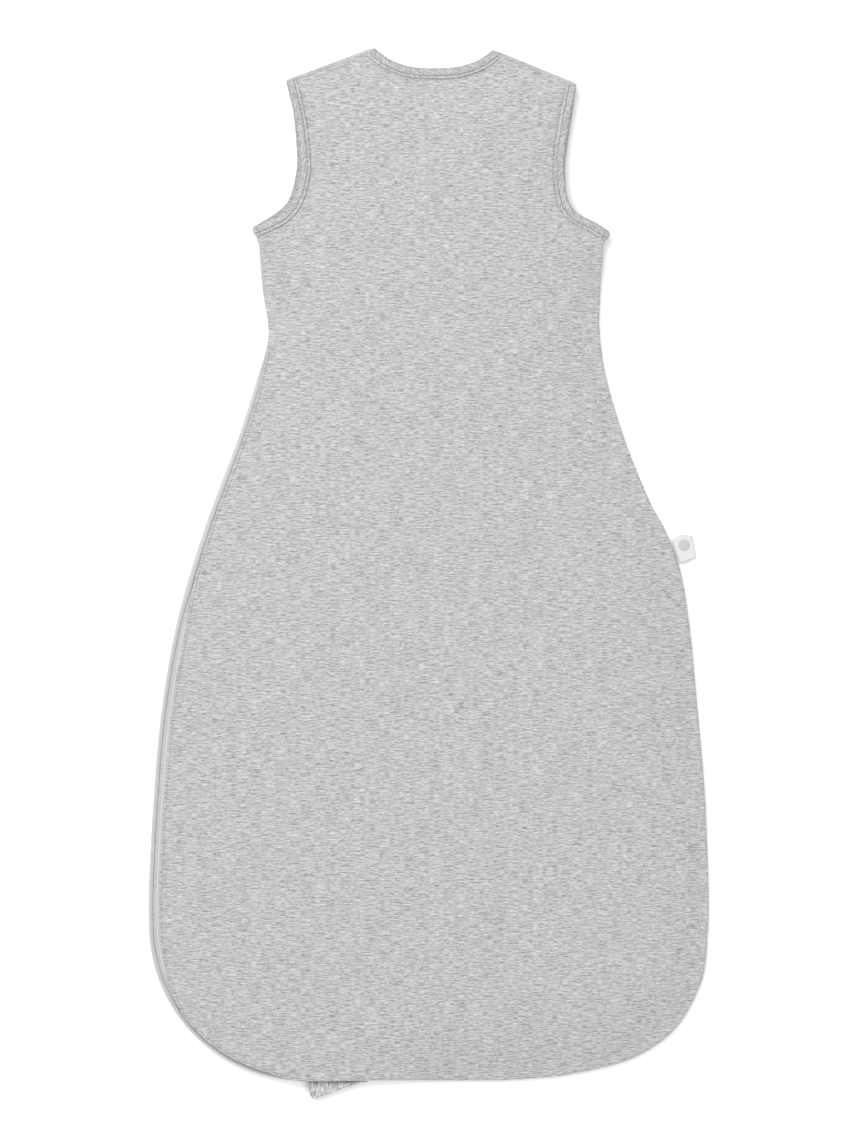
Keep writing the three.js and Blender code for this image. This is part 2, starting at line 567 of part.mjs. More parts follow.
function addStrap(side, from, to) {
  const strap = new THREE.Group();
  const middle = from.clone().add(to).multiplyScalar(0.5);
  strap.position.set(middle.x, middle.y, 0);
  strap.rotation.z = to.clone().sub(from).angle();
  bag.add(strap);

  const outerLow = STRAP_LOW + BINDING_PLY + GAP;
  const liningLow = outerLow + STRAP_CLOTH + GAP;
  const cloths = strapOutline(0).reverse();
  add(`strap_${side}_outer`, prism(cloths, outerLow, outerLow + STRAP_CLOTH), marl, strap);
  add(`strap_${side}_lining`, prism(cloths, liningLow, liningLow + STRAP_CLOTH), liningCotton, strap);
  const stack = 2 * STRAP_CLOTH + GAP;
  const edge = stationsAlong(cloths, () => outerLow);
  add(`strap_${side}_binding`, sweep(edge, bindingSection(stack)), ribbedMarl, strap);

  const place = (geometry) => geometry.translate(0, POPPER_REACH, 0);
  const cap = turned([[0, 0.1], [5.5, 0.1], [5.5, outerLow - GAP], [0, outerLow - GAP]]);
  add(`strap_${side}_popper_cap`, place(cap), popperPlastic, strap);
  const ringLow = liningLow + STRAP_CLOTH + GAP;
  const socket = turned([[2.4, ringLow], [5.5, ringLow], [5.5, ringLow + 1], [2.4, ringLow + 1],
    [2.4, ringLow]]);
  add(`strap_${side}_popper_socket`, place(socket), popperPlastic, strap);
  const stud = turned([[0, ringLow + 0.2], [1.9, ringLow + 0.2], [1.9, LIFT - GAP - 0.5],
    [5.5, LIFT - GAP - 0.5], [5.5, LIFT - GAP], [0, LIFT - GAP]]);
  add(`front_${side}_popper_stud`, place(stud), popperPlastic, strap);
  const postLow = LIFT + 2 * JERSEY + FULL_SPACE + GAP;
  const post = turned([[0, postLow], [5.5, postLow], [5.5, postLow + 0.4], [0, postLow + 0.4]]);
  add(`front_${side}_popper_post`, place(post), popperPlastic, strap);
}

addFrontPanel();
addBackPanel();
addBindings();
addZip();
addSlider();
addGarage();
addLabel();
addStrap('left', ...vectors([BACK_NECK[BACK_NECK.length - 1], BACK_LEFT_ARMHOLE[0]]));
addStrap('right', ...vectors([BACK_RIGHT_ARMHOLE[BACK_RIGHT_ARMHOLE.length - 1], BACK_NECK[0]]));

// The origin is the centre of the underside of the whole bag's box.
const box = new THREE.Box3().setFromObject(bag);
bag.position.set(-(box.min.x + box.max.x) / 2, -(box.min.y + box.max.y) / 2, -box.min.z);

export default bag;
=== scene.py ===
# A quilted baby sleeping bag lying on its front, back panel up, with a zip down one side.
import math
from contextlib import contextmanager
import bmesh
import bpy
import numpy as np
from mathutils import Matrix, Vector, noise
from mathutils.geometry import delaunay_2d_cdt
from mathutils.kdtree import KDTree


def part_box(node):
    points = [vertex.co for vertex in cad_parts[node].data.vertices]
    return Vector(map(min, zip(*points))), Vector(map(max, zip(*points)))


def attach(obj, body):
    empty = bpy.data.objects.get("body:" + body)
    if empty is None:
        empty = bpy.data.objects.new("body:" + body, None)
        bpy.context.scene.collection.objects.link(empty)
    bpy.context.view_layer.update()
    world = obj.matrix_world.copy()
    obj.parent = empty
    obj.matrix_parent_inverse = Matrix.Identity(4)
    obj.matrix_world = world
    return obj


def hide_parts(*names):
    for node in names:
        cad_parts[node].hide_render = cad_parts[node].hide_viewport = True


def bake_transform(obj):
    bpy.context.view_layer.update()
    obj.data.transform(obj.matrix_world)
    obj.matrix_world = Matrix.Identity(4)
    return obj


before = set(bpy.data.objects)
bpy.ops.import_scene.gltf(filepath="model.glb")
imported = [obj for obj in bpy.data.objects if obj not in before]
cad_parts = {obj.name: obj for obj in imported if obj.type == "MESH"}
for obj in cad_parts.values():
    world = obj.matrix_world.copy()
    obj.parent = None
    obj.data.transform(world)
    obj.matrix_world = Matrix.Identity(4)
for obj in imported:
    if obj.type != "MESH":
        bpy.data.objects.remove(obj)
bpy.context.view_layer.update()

MM = 0.001
UP = np.array([0.0, 0.0, 1.0])
SHIFT = np.array([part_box("back_outer")[1][0] / MM - 244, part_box("front_outer")[0][1] / MM, 0])

# ---- camera and light -----------------------------------------------------------------------
FRAME_ROWS = 1147
ROW_SIZE = 0.871 * MM               # what one row of the frame covers on the bag
CAMERA_HEIGHT = 5.0
BAG_MIDDLE_Z = 0.01
SENSOR = 36


def add_object(name, data):
    obj = bpy.data.objects.new(name, data)
    bpy.context.collection.objects.link(obj)
    return obj


def add_camera():
    camera = bpy.data.cameras.new("camera")
    camera.sensor_fit = "VERTICAL"
    camera.sensor_height = SENSOR
    camera.lens = SENSOR * (CAMERA_HEIGHT - BAG_MIDDLE_Z) / (FRAME_ROWS * ROW_SIZE)
    camera.clip_end = 50
    obj = add_object("camera", camera)
    obj.location = (0.001, -0.0004, CAMERA_HEIGHT)
    bpy.context.scene.camera = obj


def add_area(name, place, size, power):
    """A round soft light that faces the bag's middle."""
    light = bpy.data.lights.new(name, "AREA")
    light.shape = "DISK"
    light.size = size
    light.energy = power
    obj = add_object(name, light)
    obj.location = place
    obj.rotation_euler = (-Vector(place)).to_track_quat("-Z", "Y").to_euler()


def add_studio():
    add_area("key_light", (-1.1, 1.6, 2.6), 2.4, 64)
    add_area("fill_light", (1.3, -1.5, 2.5), 1.8, 12)
    world = bpy.data.worlds.new("studio")
    world.use_nodes = True
    background = world.node_tree.nodes["Background"]
    background.inputs["Color"].default_value = (1, 1, 1, 1)
    background.inputs["Strength"].default_value = 1.0
    bpy.context.scene.world = world
    bpy.context.scene.view_settings.view_transform = "Standard"
    bpy.ops.mesh.primitive_plane_add(size=14, location=(0, 0, -0.0004))
    floor = bpy.context.object
    floor.name = "floor"
    paper = Nodes("floor_paper", 0.9)
    paper.colour((0.93, 0.93, 0.93, 1))
    floor.data.materials.append(paper.material)


# ---- node helpers -----------------------------------------------------------------------------
class Nodes:
    """A new material's node tree, with short calls for the few kinds of node used here."""

    def __init__(self, name, roughness, sheen=0.0, metallic=0.0):
        self.material = bpy.data.materials.new(name)
        self.material.use_nodes = True
        self.tree = self.material.node_tree
        self.shader = self.tree.nodes["Principled BSDF"]
        self.feed(self.shader, {"Roughness": roughness, "Sheen Weight": sheen,
                                "Metallic": metallic})

    def feed(self, node, inputs):
        """Each input gets a plain value, or another node's output."""
        for key, value in inputs.items():
            if isinstance(value, bpy.types.NodeSocket):
                self.tree.links.new(value, node.inputs[key])
            else:
                node.inputs[key].default_value = value

    def add(self, kind, inputs, output=0, **settings):
        """The output of a new node."""
        node = self.tree.nodes.new(kind)
        for key, value in settings.items():
            setattr(node, key, value)
        self.feed(node, inputs)
        return node.outputs[output]

    def uv(self):
        return self.add("ShaderNodeUVMap", {}, uv_map="cloth")

    def plan(self, scale, slant=0.0):
        """Rest-pose position on the cloth, in millimetres, turned by slant, times scale (x, y)."""
        turned = self.add("ShaderNodeVectorRotate", {"Angle": slant, "Vector": self.uv()},
                          rotation_type="Z_AXIS")
        size = (1000 * scale[0], 1000 * scale[1], 1)
        return self.add("ShaderNodeMapping", {"Scale": size, "Vector": turned})

    def split(self, vector):
        """A position's first two numbers."""
        return [self.add("ShaderNodeSeparateXYZ", {0: vector}, axis) for axis in (0, 1)]

    def noise(self, vector, detail=2.0, rough=0.5, scale=1.0):
        return self.add("ShaderNodeTexNoise", {"Scale": scale, "Detail": detail,
                                               "Roughness": rough, "Vector": vector})

    def math(self, operation, a, b=0.0):
        return self.add("ShaderNodeMath", {0: a, 1: b}, operation=operation)

    def times(self, a, b):
        return self.math("MULTIPLY", a, b)

    def ramp(self, factor, stops):
        node = self.tree.nodes.new("ShaderNodeValToRGB")
        elements = node.color_ramp.elements
        while len(elements) < len(stops):
            elements.new(0.5)
        for element, (place, grey) in zip(elements, stops):
            element.position = place
            rgb = (grey, grey, grey) if isinstance(grey, float) else grey
            element.color = (*rgb, 1)
        self.feed(node, {0: factor})
        return node.outputs[0]

    def colour(self, value):
        self.feed(self.shader, {"Base Color": value})

    def bump(self, height, distance, strength=1.0):
        normal = self.add("ShaderNodeBump", {"Distance": distance, "Strength": strength,
                                             "Height": height})
        self.feed(self.shader, {"Normal": normal})


def knit_height(nodes, wale, course):
    """Columns of V-shaped stitches: wale is a column's width and course a row's height, in mm."""
    x, y = nodes.split(nodes.plan((1 / wale, 1 / course)))
    across = nodes.math("PINGPONG", x, 0.5)
    slanted = nodes.math("ADD", y, across)
    row = nodes.math("ABSOLUTE", nodes.math("SINE", nodes.times(slanted, math.pi)))
    return nodes.times(row, nodes.math("POWER", nodes.times(across, 2.0), 0.5))


def marl_nodes(name, level, contrast=1.0, streak=(4.3, 0.95), slant=0.0):
    """Grey marl jersey: short crosswise streaks of lighter and darker yarn on a fine knit.

    Returns its nodes, and its colour for the caller to join or shade further."""
    nodes = Nodes(name, 0.92, sheen=0.15)
    nodes.feed(nodes.shader, {"Sheen Roughness": 0.5})
    length, height = streak
    total = 0.0
    for share, wide, high, detail in ((0.45, 1, 1, 2.5), (0.33, 2.6, 1.1, 1.0),
                                      (0.17, 0.4, 0.8, 1.0), (0.05, 8, 20, 2.0)):
        place = nodes.plan((1 / (length * wide), 1 / (height * high)), slant)
        total = nodes.math("ADD", nodes.times(nodes.noise(place, detail, 0.6), share), total)
    spread = 0.52 * contrast
    streaks = nodes.ramp(total, [(0.37, level * (1 - spread)), (0.5, level),
                                 (0.63, level * (1 + 0.92 * spread))])
    knit = knit_height(nodes, 0.95, 0.75)
    fuzz = nodes.noise(nodes.plan((1 / 0.5, 1 / 0.5)), detail=3.0)
    nodes.bump(nodes.math("ADD", knit, nodes.times(fuzz, 0.5)), 0.00012, 0.55)
    return nodes, streaks


def marl_material(*settings, **options):
    nodes, streaks = marl_nodes(*settings, **options)
    nodes.colour(streaks)
    return nodes.material


def weave_material(name, grey, roughness, pitch, depth, tint=(1, 1, 1)):
    """Plain weave: warp and weft threads at the given pitch, with slightly uneven yarn."""
    nodes = Nodes(name, roughness, sheen=0.1)
    warp, weft = (nodes.math("SINE", nodes.times(way, math.tau))
                  for way in nodes.split(nodes.plan((1 / pitch, 1 / pitch))))
    weave = nodes.times(warp, weft)
    uneven = nodes.noise(nodes.plan((0.25 / pitch, 1.2 / pitch)), detail=2.0)
    tone = nodes.math("ADD", nodes.times(uneven, 0.8), nodes.times(weave, 0.1))
    shade = [tuple(grey * k * t for t in tint) for k in (0.9, 1.04)]
    nodes.colour(nodes.ramp(tone, [(0.2, shade[0]), (0.6, shade[1])]))
    nodes.bump(weave, depth, 0.5)
    return nodes.material


def binding_material():
    """The marl cut on the bias: slanting flecks, with a painted highlight along the folded edge and
    painted shade at the outer edge, the stitch row and the seam's groove.
    """
    nodes, flecks = marl_nodes("binding_marl_jersey", 0.36, 1.05, (2.8, 0.8), 0.7)
    across = nodes.times(nodes.split(nodes.uv())[1], 100)
    # Painted light across the strip: painted shade at the rolled outer edge, along the stitch row
    # and in the groove at the inner edge, and a painted highlight on the folded ridge.
    shade = nodes.ramp(across, [(0.0, 0.8), (0.1, 0.97), (0.48, 1.0), (0.56, 0.86), (0.62, 0.94),
                                (0.7, 1.12), (0.77, 1.14), (0.82, 0.8)])
    nodes.colour(nodes.add("ShaderNodeMix", {0: 1, 6: flecks, 7: shade}, 2, data_type="RGBA",
                           blend_type="MULTIPLY"))
    return nodes.material


def wadding_material():
    nodes = Nodes("polyester_wadding", 0.95, sheen=0.3)
    fibre = nodes.noise(nodes.plan((1 / 3, 1 / 3)), detail=5.0, rough=0.7)
    nodes.colour(nodes.ramp(fibre, [(0.3, 0.6), (0.7, 0.72)]))
    nodes.bump(fibre, 0.0006, 0.6)
    return nodes.material


def hard_material(name, grey, roughness, metallic=0.0):
    """Moulded plastic or lacquered metal: fine grain, a little uneven wear in its gloss."""
    nodes = Nodes(name, roughness, metallic=metallic)
    place = nodes.add("ShaderNodeTexCoord", {}, "Object")
    fine = nodes.noise(place, detail=4.0, scale=900.0)
    wear = nodes.noise(place, detail=2.0, scale=120.0)
    nodes.colour(nodes.ramp(wear, [(0.3, grey * 0.93), (0.7, grey * 1.05)]))
    gloss = nodes.math("ADD", nodes.times(wear, 0.18), roughness - 0.09)
    nodes.feed(nodes.shader, {"Roughness": gloss})
    nodes.bump(fine, 0.00002, 0.4)
    return nodes.material


def thread_material(name, grey):
    nodes = Nodes(name, 0.7, sheen=0.2)
    twist = nodes.noise(nodes.plan((1 / 0.4, 1 / 0.4)), detail=1.0)
    nodes.colour(nodes.ramp(twist, [(0.35, grey * 0.8), (0.65, grey * 1.15)]))
    return nodes.material


def satin_material():
    nodes = Nodes("woven_satin", 0.45, sheen=0.1)
    rib = nodes.noise(nodes.plan((1 / 0.35, 1 / 3)), detail=1.0)
    nodes.colour(nodes.ramp(rib, [(0.3, 0.52), (0.7, 0.58)]))
    nodes.bump(rib, 0.00005, 0.5)
    return nodes.material


# ---- outlines, in millimetres from the hem's line and the bag's middle ------------------------
LEFT_SIDE = [(-148, 729), (-145, 689), (-140, 650), (-150, 611), (-167, 558), (-196, 480),
             (-219, 402), (-233, 323), (-240, 245), (-244, 170), (-244, 136)]
RIGHT_CORNER = [(62, 0), (114, 4), (166, 15), (197, 30), (218, 49), (233, 75), (241, 101),
                (244, 149)]
RIGHT_SIDE = [(244, 149), (243, 193), (240, 258), (233, 336), (228, 389), (220, 441), (206, 480),
              (192, 506), (171, 558), (155, 611), (149, 650), (149, 680), (152, 729)]
BACK_RIGHT_ARMHOLE = [(157, 739), (144, 747), (129, 755), (120, 768), (117, 793), (118, 812),
                      (122, 838), (128, 869)]
BACK_NECK = [(57, 898), (51, 893), (41, 887), (24, 882), (4, 881), (-15, 882), (-31, 887),
             (-41, 893), (-49, 900)]
BACK_LEFT_ARMHOLE = [(-124, 872), (-120, 857), (-115, 833), (-112, 806), (-112, 790), (-118, 768),
                     (-130, 754), (-153, 743)]
FRONT_RIGHT_ARMHOLE = [(157, 739), (144, 747), (128.6, 755), (120, 768), (117.6, 793),
                       (119.2, 812), (123.2, 838), (127, 863)]
FRONT_LEFT_ARMHOLE = [(-121, 866), (-119, 857), (-116, 833), (-114, 806), (-115, 790),
                      (-121, 768), (-132, 756), (-153, 743)]
FRONT_NECK = [(58, 889), (51, 884), (40, 877), (22, 870), (4, 868), (-15, 870), (-33, 877),
              (-44, 884), (-52, 890)]
CORNER = np.array([-108.0, 136.0])
CORNER_RADIUS = 136.0
ZIP_HEAD_Y = 641
HEM_END = (-112, -50)
FLAP_LINE = (np.array([-142.0, 641.0]), np.array([-112.0, 0.0]))
FLAP_BEND = 32                      # cloth curves up over this width beside the line
FINE = 2.5                          # spacing of points along an outline
SEAM_INSET = 2.6                    # from the back's edge to its row of stitches

# ---- heights, from the same driving sizes as the frame ----------------------------------------
CLOTH = 0.8
LINING = 0.7
PADDING_GAP = 0.25                  # between the outer cloth and the wadding
LINING_BY_ZIP = 5.7                 # the back's lining stays below this height beside the zip
DOME_TOP = 20.0
SEAM_TOP = 6.1                      # back's top at a closed seam
ZIP_TOP = 9.4
COVERED_TOP = 11.3                  # back's top where it hides part of the chain
HEM_END_TOP = 13.9
OPEN_TOP = 13.3
STACK = 2.8                         # a panel's thickness inside its binding
LIFT = 5.6                          # the front's height at the chest, which stands open
CHAIN_CENTRE = 3.8                  # the chain's middle: how far it is in from the edge
CHAIN_MIDDLE = 8.0                  # and its height
SEWN = 1.2                          # between a panel's two cloths beside a seam
WADDED = 1.8                        # how much more the wadding keeps them apart


def smoothstep(t):
    t = np.clip(t, 0, 1)
    return t * t * (3 - 2 * t)


def round_off(gap, radius):
    """How far a rounded edge lies below its full height: one at the edge, none by its radius."""
    return 1 - np.sqrt(1 - (1 - np.clip(gap / radius, 0, 1)) ** 2)


def chest(y):
    """Grows from 0 to 1 where the two panels part and the front lifts off the surface."""
    return smoothstep((y - 690) / 32)


def units(vectors):
    """Each row of vectors, at length one."""
    return vectors / np.linalg.norm(vectors, axis=1)[:, None]


def travelled(points):
    """Distance along an open line to each of its points."""
    steps = np.linalg.norm(np.diff(points, axis=0), axis=1)
    return np.concatenate([[0], np.cumsum(steps)])


def respace(points, spacing):
    along = travelled(points)
    count = max(int(round(along[-1] / spacing)), 1)
    even = np.linspace(0, along[-1], count + 1)
    return np.column_stack([np.interp(even, along, points[:, k]) for k in range(points.shape[1])])


def smooth(points, spacing=FINE):
    """A smooth curve through the points, as evenly spaced points."""
    p = np.array([points[0], *points, points[-1]], float)
    t = np.linspace(0, 1, 24, endpoint=False)[:, None]
    parts = [0.5 * (2 * b + (c - a) * t + (2 * a - 5 * b + 4 * c - d) * t**2
                    + (3 * b - a - 3 * c + d) * t**3)
             for a, b, c, d in zip(p, p[1:], p[2:], p[3:])]
    return respace(np.vstack([*parts, p[-1:]]), spacing)


def straight(a, b):
    return respace(np.array([a, b], float), FINE)


def corner_arc(start, end, spacing=FINE):
    """The round corner from one angle to another, in degrees; 0 is its lowest point."""
    a = np.radians(np.linspace(start, end, 120))
    return respace(CORNER + CORNER_RADIUS * np.column_stack([np.sin(a), -np.cos(a)]), spacing)


END_ANGLE = -math.degrees(math.asin((CORNER[0] - HEM_END[0]) / CORNER_RADIUS))


class Outline:
    """A panel's closed outline, counter-clockwise, with the kind of edge at each point."""

    def __init__(self, left_armhole, right_armhole, neck):
        hem_end = np.vstack([corner_arc(END_ANGLE, 0),
                             straight((CORNER[0], 0), (HEM_END[1], 0))[1:]])
        stretches = [
            ("side", straight(left_armhole[-1], LEFT_SIDE[0])),
            ("side", smooth(LEFT_SIDE)),
            ("zip", corner_arc(-90, END_ANGLE)),
            ("hem_end", hem_end),
            ("hem", straight((HEM_END[1], 0), RIGHT_CORNER[0])),
            ("hem", smooth(RIGHT_CORNER)),
            ("side", smooth(RIGHT_SIDE)),
            ("side", straight(RIGHT_SIDE[-1], right_armhole[0])),
            ("bound", smooth(right_armhole)),
            ("fold", straight(right_armhole[-1], neck[0])),
            ("bound", smooth(neck)),
            ("fold", straight(neck[-1], left_armhole[0])),
            ("bound", smooth(left_armhole))]
        self.points = np.vstack([points[:-1] for _, points in stretches])
        kinds = np.concatenate([[kind] * (len(points) - 1) for kind, points in stretches])
        on_zip = (kinds == "side") & (self.points[:, 0] < 0) & (self.points[:, 1] < ZIP_HEAD_Y)
        self.kinds = np.where(on_zip, "zip", kinds)
        self.normals = inward(self.points)

    def values(self, spread=0, **by_kind):
        """One number for each point from its kind of edge, smoothed over spread millimetres."""
        x, y = self.points.T
        result = np.zeros(len(x))
        for kind, value in by_kind.items():
            number = value(x, y) if callable(value) else value
            result = np.where(self.kinds == kind, number, result)
        return blur(result, spread / FINE) if spread else result

    def inset(self, by):
        """The outline moved inward by so much at each point, without its crossed parts."""
        moved = self.points + self.normals * by[:, None]
        clear = distance(moved, self.points)[0] >= 0.96 * by - 0.05
        return moved[clear], np.flatnonzero(clear)


def inward(points):
    """Directions square to a counter-clockwise closed line, to its inside."""
    edges = units(np.roll(points, -1, 0) - np.roll(points, 1, 0))
    return np.column_stack([-edges[:, 1], edges[:, 0]])


def blur(values, sigma):
    reach = int(4 * sigma) + 1
    kernel = np.exp(-0.5 * (np.arange(-reach, reach + 1) / sigma) ** 2)
    padded = np.concatenate([values[-reach:], values, values[:reach]])
    return np.convolve(padded, kernel / kernel.sum(), "valid")


def distance(points, loop):
    """Distance from each point to a closed line, and the nearest corner of the line."""
    tree = KDTree(len(loop))
    for index, (x, y) in enumerate(loop):
        tree.insert((x, y, 0), index)
    tree.balance()
    nearest = np.array([tree.find((x, y, 0))[1] for x, y in points])
    best = np.full(len(points), 1e9)
    for start, end in ((nearest - 1, nearest), (nearest, (nearest + 1) % len(loop))):
        step = loop[end] - loop[start]
        offset = points - loop[start]
        t = np.clip((offset * step).sum(1) / ((step**2).sum(1) + 1e-12), 0, 1)
        best = np.minimum(best, np.linalg.norm(offset - t[:, None] * step, axis=1))
    return best, nearest


def spread_in(points, loop, values):
    """Values given along a line, carried smoothly to any points by inverse distance."""
    result = np.empty((len(points), values.shape[1]))
    for i in range(0, len(points), 2000):
        gap = ((points[i:i + 2000, None] - loop[None]) ** 2).sum(2) + 0.6
        weight = gap ** -2.0
        result[i:i + 2000] = weight @ values / weight.sum(1)[:, None]
    return result


def inside(points, loop):
    a, b = loop, np.roll(loop, -1, 0)
    crossings = np.zeros(len(points), int)
    for i in range(0, len(points), 4000):
        x, y = points[i:i + 4000, 0, None], points[i:i + 4000, 1, None]
        spans = (a[:, 1] > y) != (b[:, 1] > y)
        rise = np.where(b[:, 1] == a[:, 1], 1e-9, b[:, 1] - a[:, 1])
        at = a[:, 0] + (y - a[:, 1]) / rise * (b[:, 0] - a[:, 0])
        crossings[i:i + 4000] = (spans & (x < at)).sum(1)
    return crossings % 2 == 1


def hexagons(loop, step):
    """Points of a triangular grid over a closed line's box."""
    low, high = loop.min(0), loop.max(0)
    xs, ys = np.arange(low[0], high[0], step), np.arange(low[1], high[1], step * 0.866)
    return np.array([(x + (step / 2 if k % 2 else 0), y) for k, y in enumerate(ys) for x in xs])


def bends(points):
    """True near the line where the flap folds, which needs a finer grid to bend smoothly."""
    high, low = FLAP_LINE
    step = (high - low) / np.linalg.norm(high - low)
    left = (low[0] - points[:, 0]) * step[1] - (low[1] - points[:, 1]) * step[0]
    return (left > -5) & (left < FLAP_BEND + 5) & (points[:, 1] < high[1] + 5)


def fill(loop, insets, step):
    """Triangles that fill a closed outline: rows at the given insets, then an even grid."""
    normals = inward(loop)
    rows = [loop]
    for inset in insets:
        row = loop + normals * inset
        rows.append(row[distance(row, loop)[0] > 0.94 * inset])
    coarse, dense = hexagons(loop, step), hexagons(loop, min(step, 3.2))
    grid = np.vstack([coarse[~bends(coarse)], dense[bends(dense)]])
    grid = grid[inside(grid, loop)]
    rows.append(grid[distance(grid, loop)[0] > insets[-1] + 0.6 * step])
    points = np.vstack(rows)
    ring = list(range(len(loop)))
    found = delaunay_2d_cdt([Vector(p) for p in points], [], [ring], 1, 1e-5)
    return np.array([tuple(v) for v in found[0]]), np.array(found[2])


# ---- meshes -----------------------------------------------------------------------------------
def make_object(name, points, faces, material, plan=None, flat=False):
    """A mesh from points in millimetres; plan is where each point lies on the cloth."""
    mesh = bpy.data.meshes.new(name)
    mesh.from_pydata(((points + SHIFT) * MM).tolist(), [], [list(map(int, f)) for f in faces])
    layer = mesh.uv_layers.new(name="cloth")
    where = (points if plan is None else plan)[:, :2] * MM
    corners = np.empty(len(mesh.loops), int)
    mesh.loops.foreach_get("vertex_index", corners)
    layer.data.foreach_set("uv", where[corners].astype(np.float32).ravel())
    mesh.polygons.foreach_set("use_smooth", [not flat] * len(mesh.polygons))
    mesh.materials.append(material)
    mesh.validate()
    mesh.update()
    return add_object(name, mesh)


def vertex_normals(points, faces):
    """The mean direction of the faces round each point."""
    a, b, c = (points[faces[:, k]] for k in range(3))
    face = np.cross(b - a, c - a)
    total = np.zeros_like(points)
    for k in range(3):
        np.add.at(total, faces[:, k], face)
    return total / np.maximum(np.linalg.norm(total, axis=1), 1e-12)[:, None]


def rim_of(faces):
    """The edges that only one face uses."""
    edges = np.vstack([faces[:, [0, 1]], faces[:, [1, 2]], faces[:, [2, 0]]])
    keys = {tuple(e) for e in edges}
    return [e for e in keys if (e[1], e[0]) not in keys]


def facing(plan, faces, up=True):
    """The faces, all turned up or all turned down."""
    a, b, c = (plan[faces[:, k]] for k in range(3))
    area = (b - a)[:, 0] * (c - a)[:, 1] - (b - a)[:, 1] * (c - a)[:, 0]
    return np.where((area > 0)[:, None] == up, faces, faces[:, ::-1])


def shell(name, outside, within, faces, material, plan):
    """A closed piece from its outside's points and faces and its inside's points."""
    count = len(plan)
    walls = [(b, a, a + count, b + count) for a, b in rim_of(faces)]
    return make_object(name, np.vstack([outside, within]),
                       [*faces, *(faces[:, ::-1] + count), *walls], material,
                       np.vstack([plan, plan]))


def tube_faces(rings, size, first=0):
    """Faces of a tube of rings, with so many points each, and of its two ends."""
    around = list(zip(range(size), [*range(1, size), 0]))
    last = first + (rings - 1) * size
    sides = [(a + k, a + m, a + size + m, a + size + k)
             for a in range(first, last, size) for k, m in around]
    return sides + [tuple(range(first, first + size))[::-1], tuple(range(last, last + size))]


def rounded_bars(name, bars, sides, material):
    """Separate bars: each has its rings' middles and sizes, and its half width and half height."""
    angles = np.arange(sides) * math.tau / sides
    points, faces = [], []
    for middles, sizes, across, over in bars:
        faces += tube_faces(len(sizes), sides, len(points))
        points += [middle + (across * math.cos(a) + over * math.sin(a)) * size
                   for middle, size in zip(middles, sizes) for a in angles]
    return make_object(name, np.array(points), faces, material)


def thick_sheet(name, plan, faces, outer, thickness, material, up=True):
    """A closed sheet: outer is the height of its outside, and its inside lies thickness within."""
    faces = facing(plan, faces, up)
    top = np.column_stack([plan, outer])
    under = top - vertex_normals(top, faces) * thickness
    return shell(name, top, under, faces, material, plan)


def slab(name, plan, faces, low, high, material):
    """A closed piece between two heights over the same plan."""
    top, bottom = np.column_stack([plan, high]), np.column_stack([plan, low])
    return shell(name, top, bottom, facing(plan, faces), material, plan)


def sweep(name, path, insides, section, material, ups=UP, girth=False):
    """A closed section of (inset, height) points carried along a path, with axes at each point.

    On the cloth, each point lies at its distance along the path, and across it at its inset or
    its distance round the section."""
    section = np.asarray(section, float)
    count, n = len(path), section.shape[-2]
    each = section if section.ndim == 3 else np.repeat(section[None], count, 0)
    points = path[:, None] + insides[:, None] * each[:, :, :1] + ups * each[:, :, 1:2]
    round_it = np.linalg.norm(np.diff(each, axis=1, prepend=each[:, :1]), axis=2).cumsum(1)
    across = round_it if girth else each[:, :, 0]
    plan = np.stack([np.repeat(travelled(path)[:, None], n, 1), across], 2).reshape(-1, 2)
    obj = make_object(name, points.reshape(-1, 3), tube_faces(count, n), material, plan)
    tidy_normals(obj)
    return obj


@contextmanager
def editing(obj):
    """A bmesh of the object, written back at the end of the with block."""
    work = bmesh.new()
    work.from_mesh(obj.data)
    yield work
    work.to_mesh(obj.data)
    work.free()


def tidy_normals(obj):
    with editing(obj) as work:
        bmesh.ops.recalc_face_normals(work, faces=work.faces)


def wobble(points, size, seed):
    """Smooth noise from -1 to 1 at each point, with features about size millimetres across."""
    return np.array([noise.noise(Vector((p[0] / size, p[1] / size, seed))) for p in points])


def into_bag(points):
    """Level directions into the bag, from a flat open path that has the bag on its left."""
    step = units(np.gradient(points, axis=0))
    return np.column_stack([-step[:, 1], step[:, 0], np.zeros(len(points))])


def at_height(points, z):
    return np.column_stack([points, np.broadcast_to(z, len(points))])


# ---- the panels' shapes -----------------------------------------------------------------------
back = Outline(BACK_LEFT_ARMHOLE, BACK_RIGHT_ARMHOLE, BACK_NECK)
front = Outline(FRONT_LEFT_ARMHOLE, FRONT_RIGHT_ARMHOLE, FRONT_NECK)


def zip_reveal(x, y):
    """How far the back's cloth stands in from the edge, which shows the zip beside it."""
    reveal = np.interp(y, [0, 2.5, 6, 58, 95, 395, 440, 520, 600, 628, 641],
                       [0, 2.6, 3.4, 3.6, 8.6, 8.6, 5.0, 4.8, 4.0, 2.0, 0.4])
    return np.where(x > HEM_END[0] - 1, 0, reveal)


def side_top(x, y):
    """Height of a closed side, which rises over the zip's head and where the chest opens."""
    head = np.where(x < 0, 4.5 * (1 - smoothstep((y - 648) / 34)), 0)
    return SEAM_TOP + head + (OPEN_TOP - SEAM_TOP) * chest(y)


def hem_top(x, y):
    """The back's edge stands over the zip's end, and settles to a closed seam along the hem."""
    return SEAM_TOP + (HEM_END_TOP - SEAM_TOP) * (1 - smoothstep((x - HEM_END[1]) / 70))


def zip_top(x, y):
    return np.interp(y, [0, 12, 40, 65, 95, 395, 440, 641],
                     [HEM_END_TOP, HEM_END_TOP, 12.2, COVERED_TOP, ZIP_TOP, ZIP_TOP, 10.6, 10.6])


reveal = back.values(spread=3, zip=zip_reveal, fold=1.1)
back_edge, back_index = back.inset(reveal)
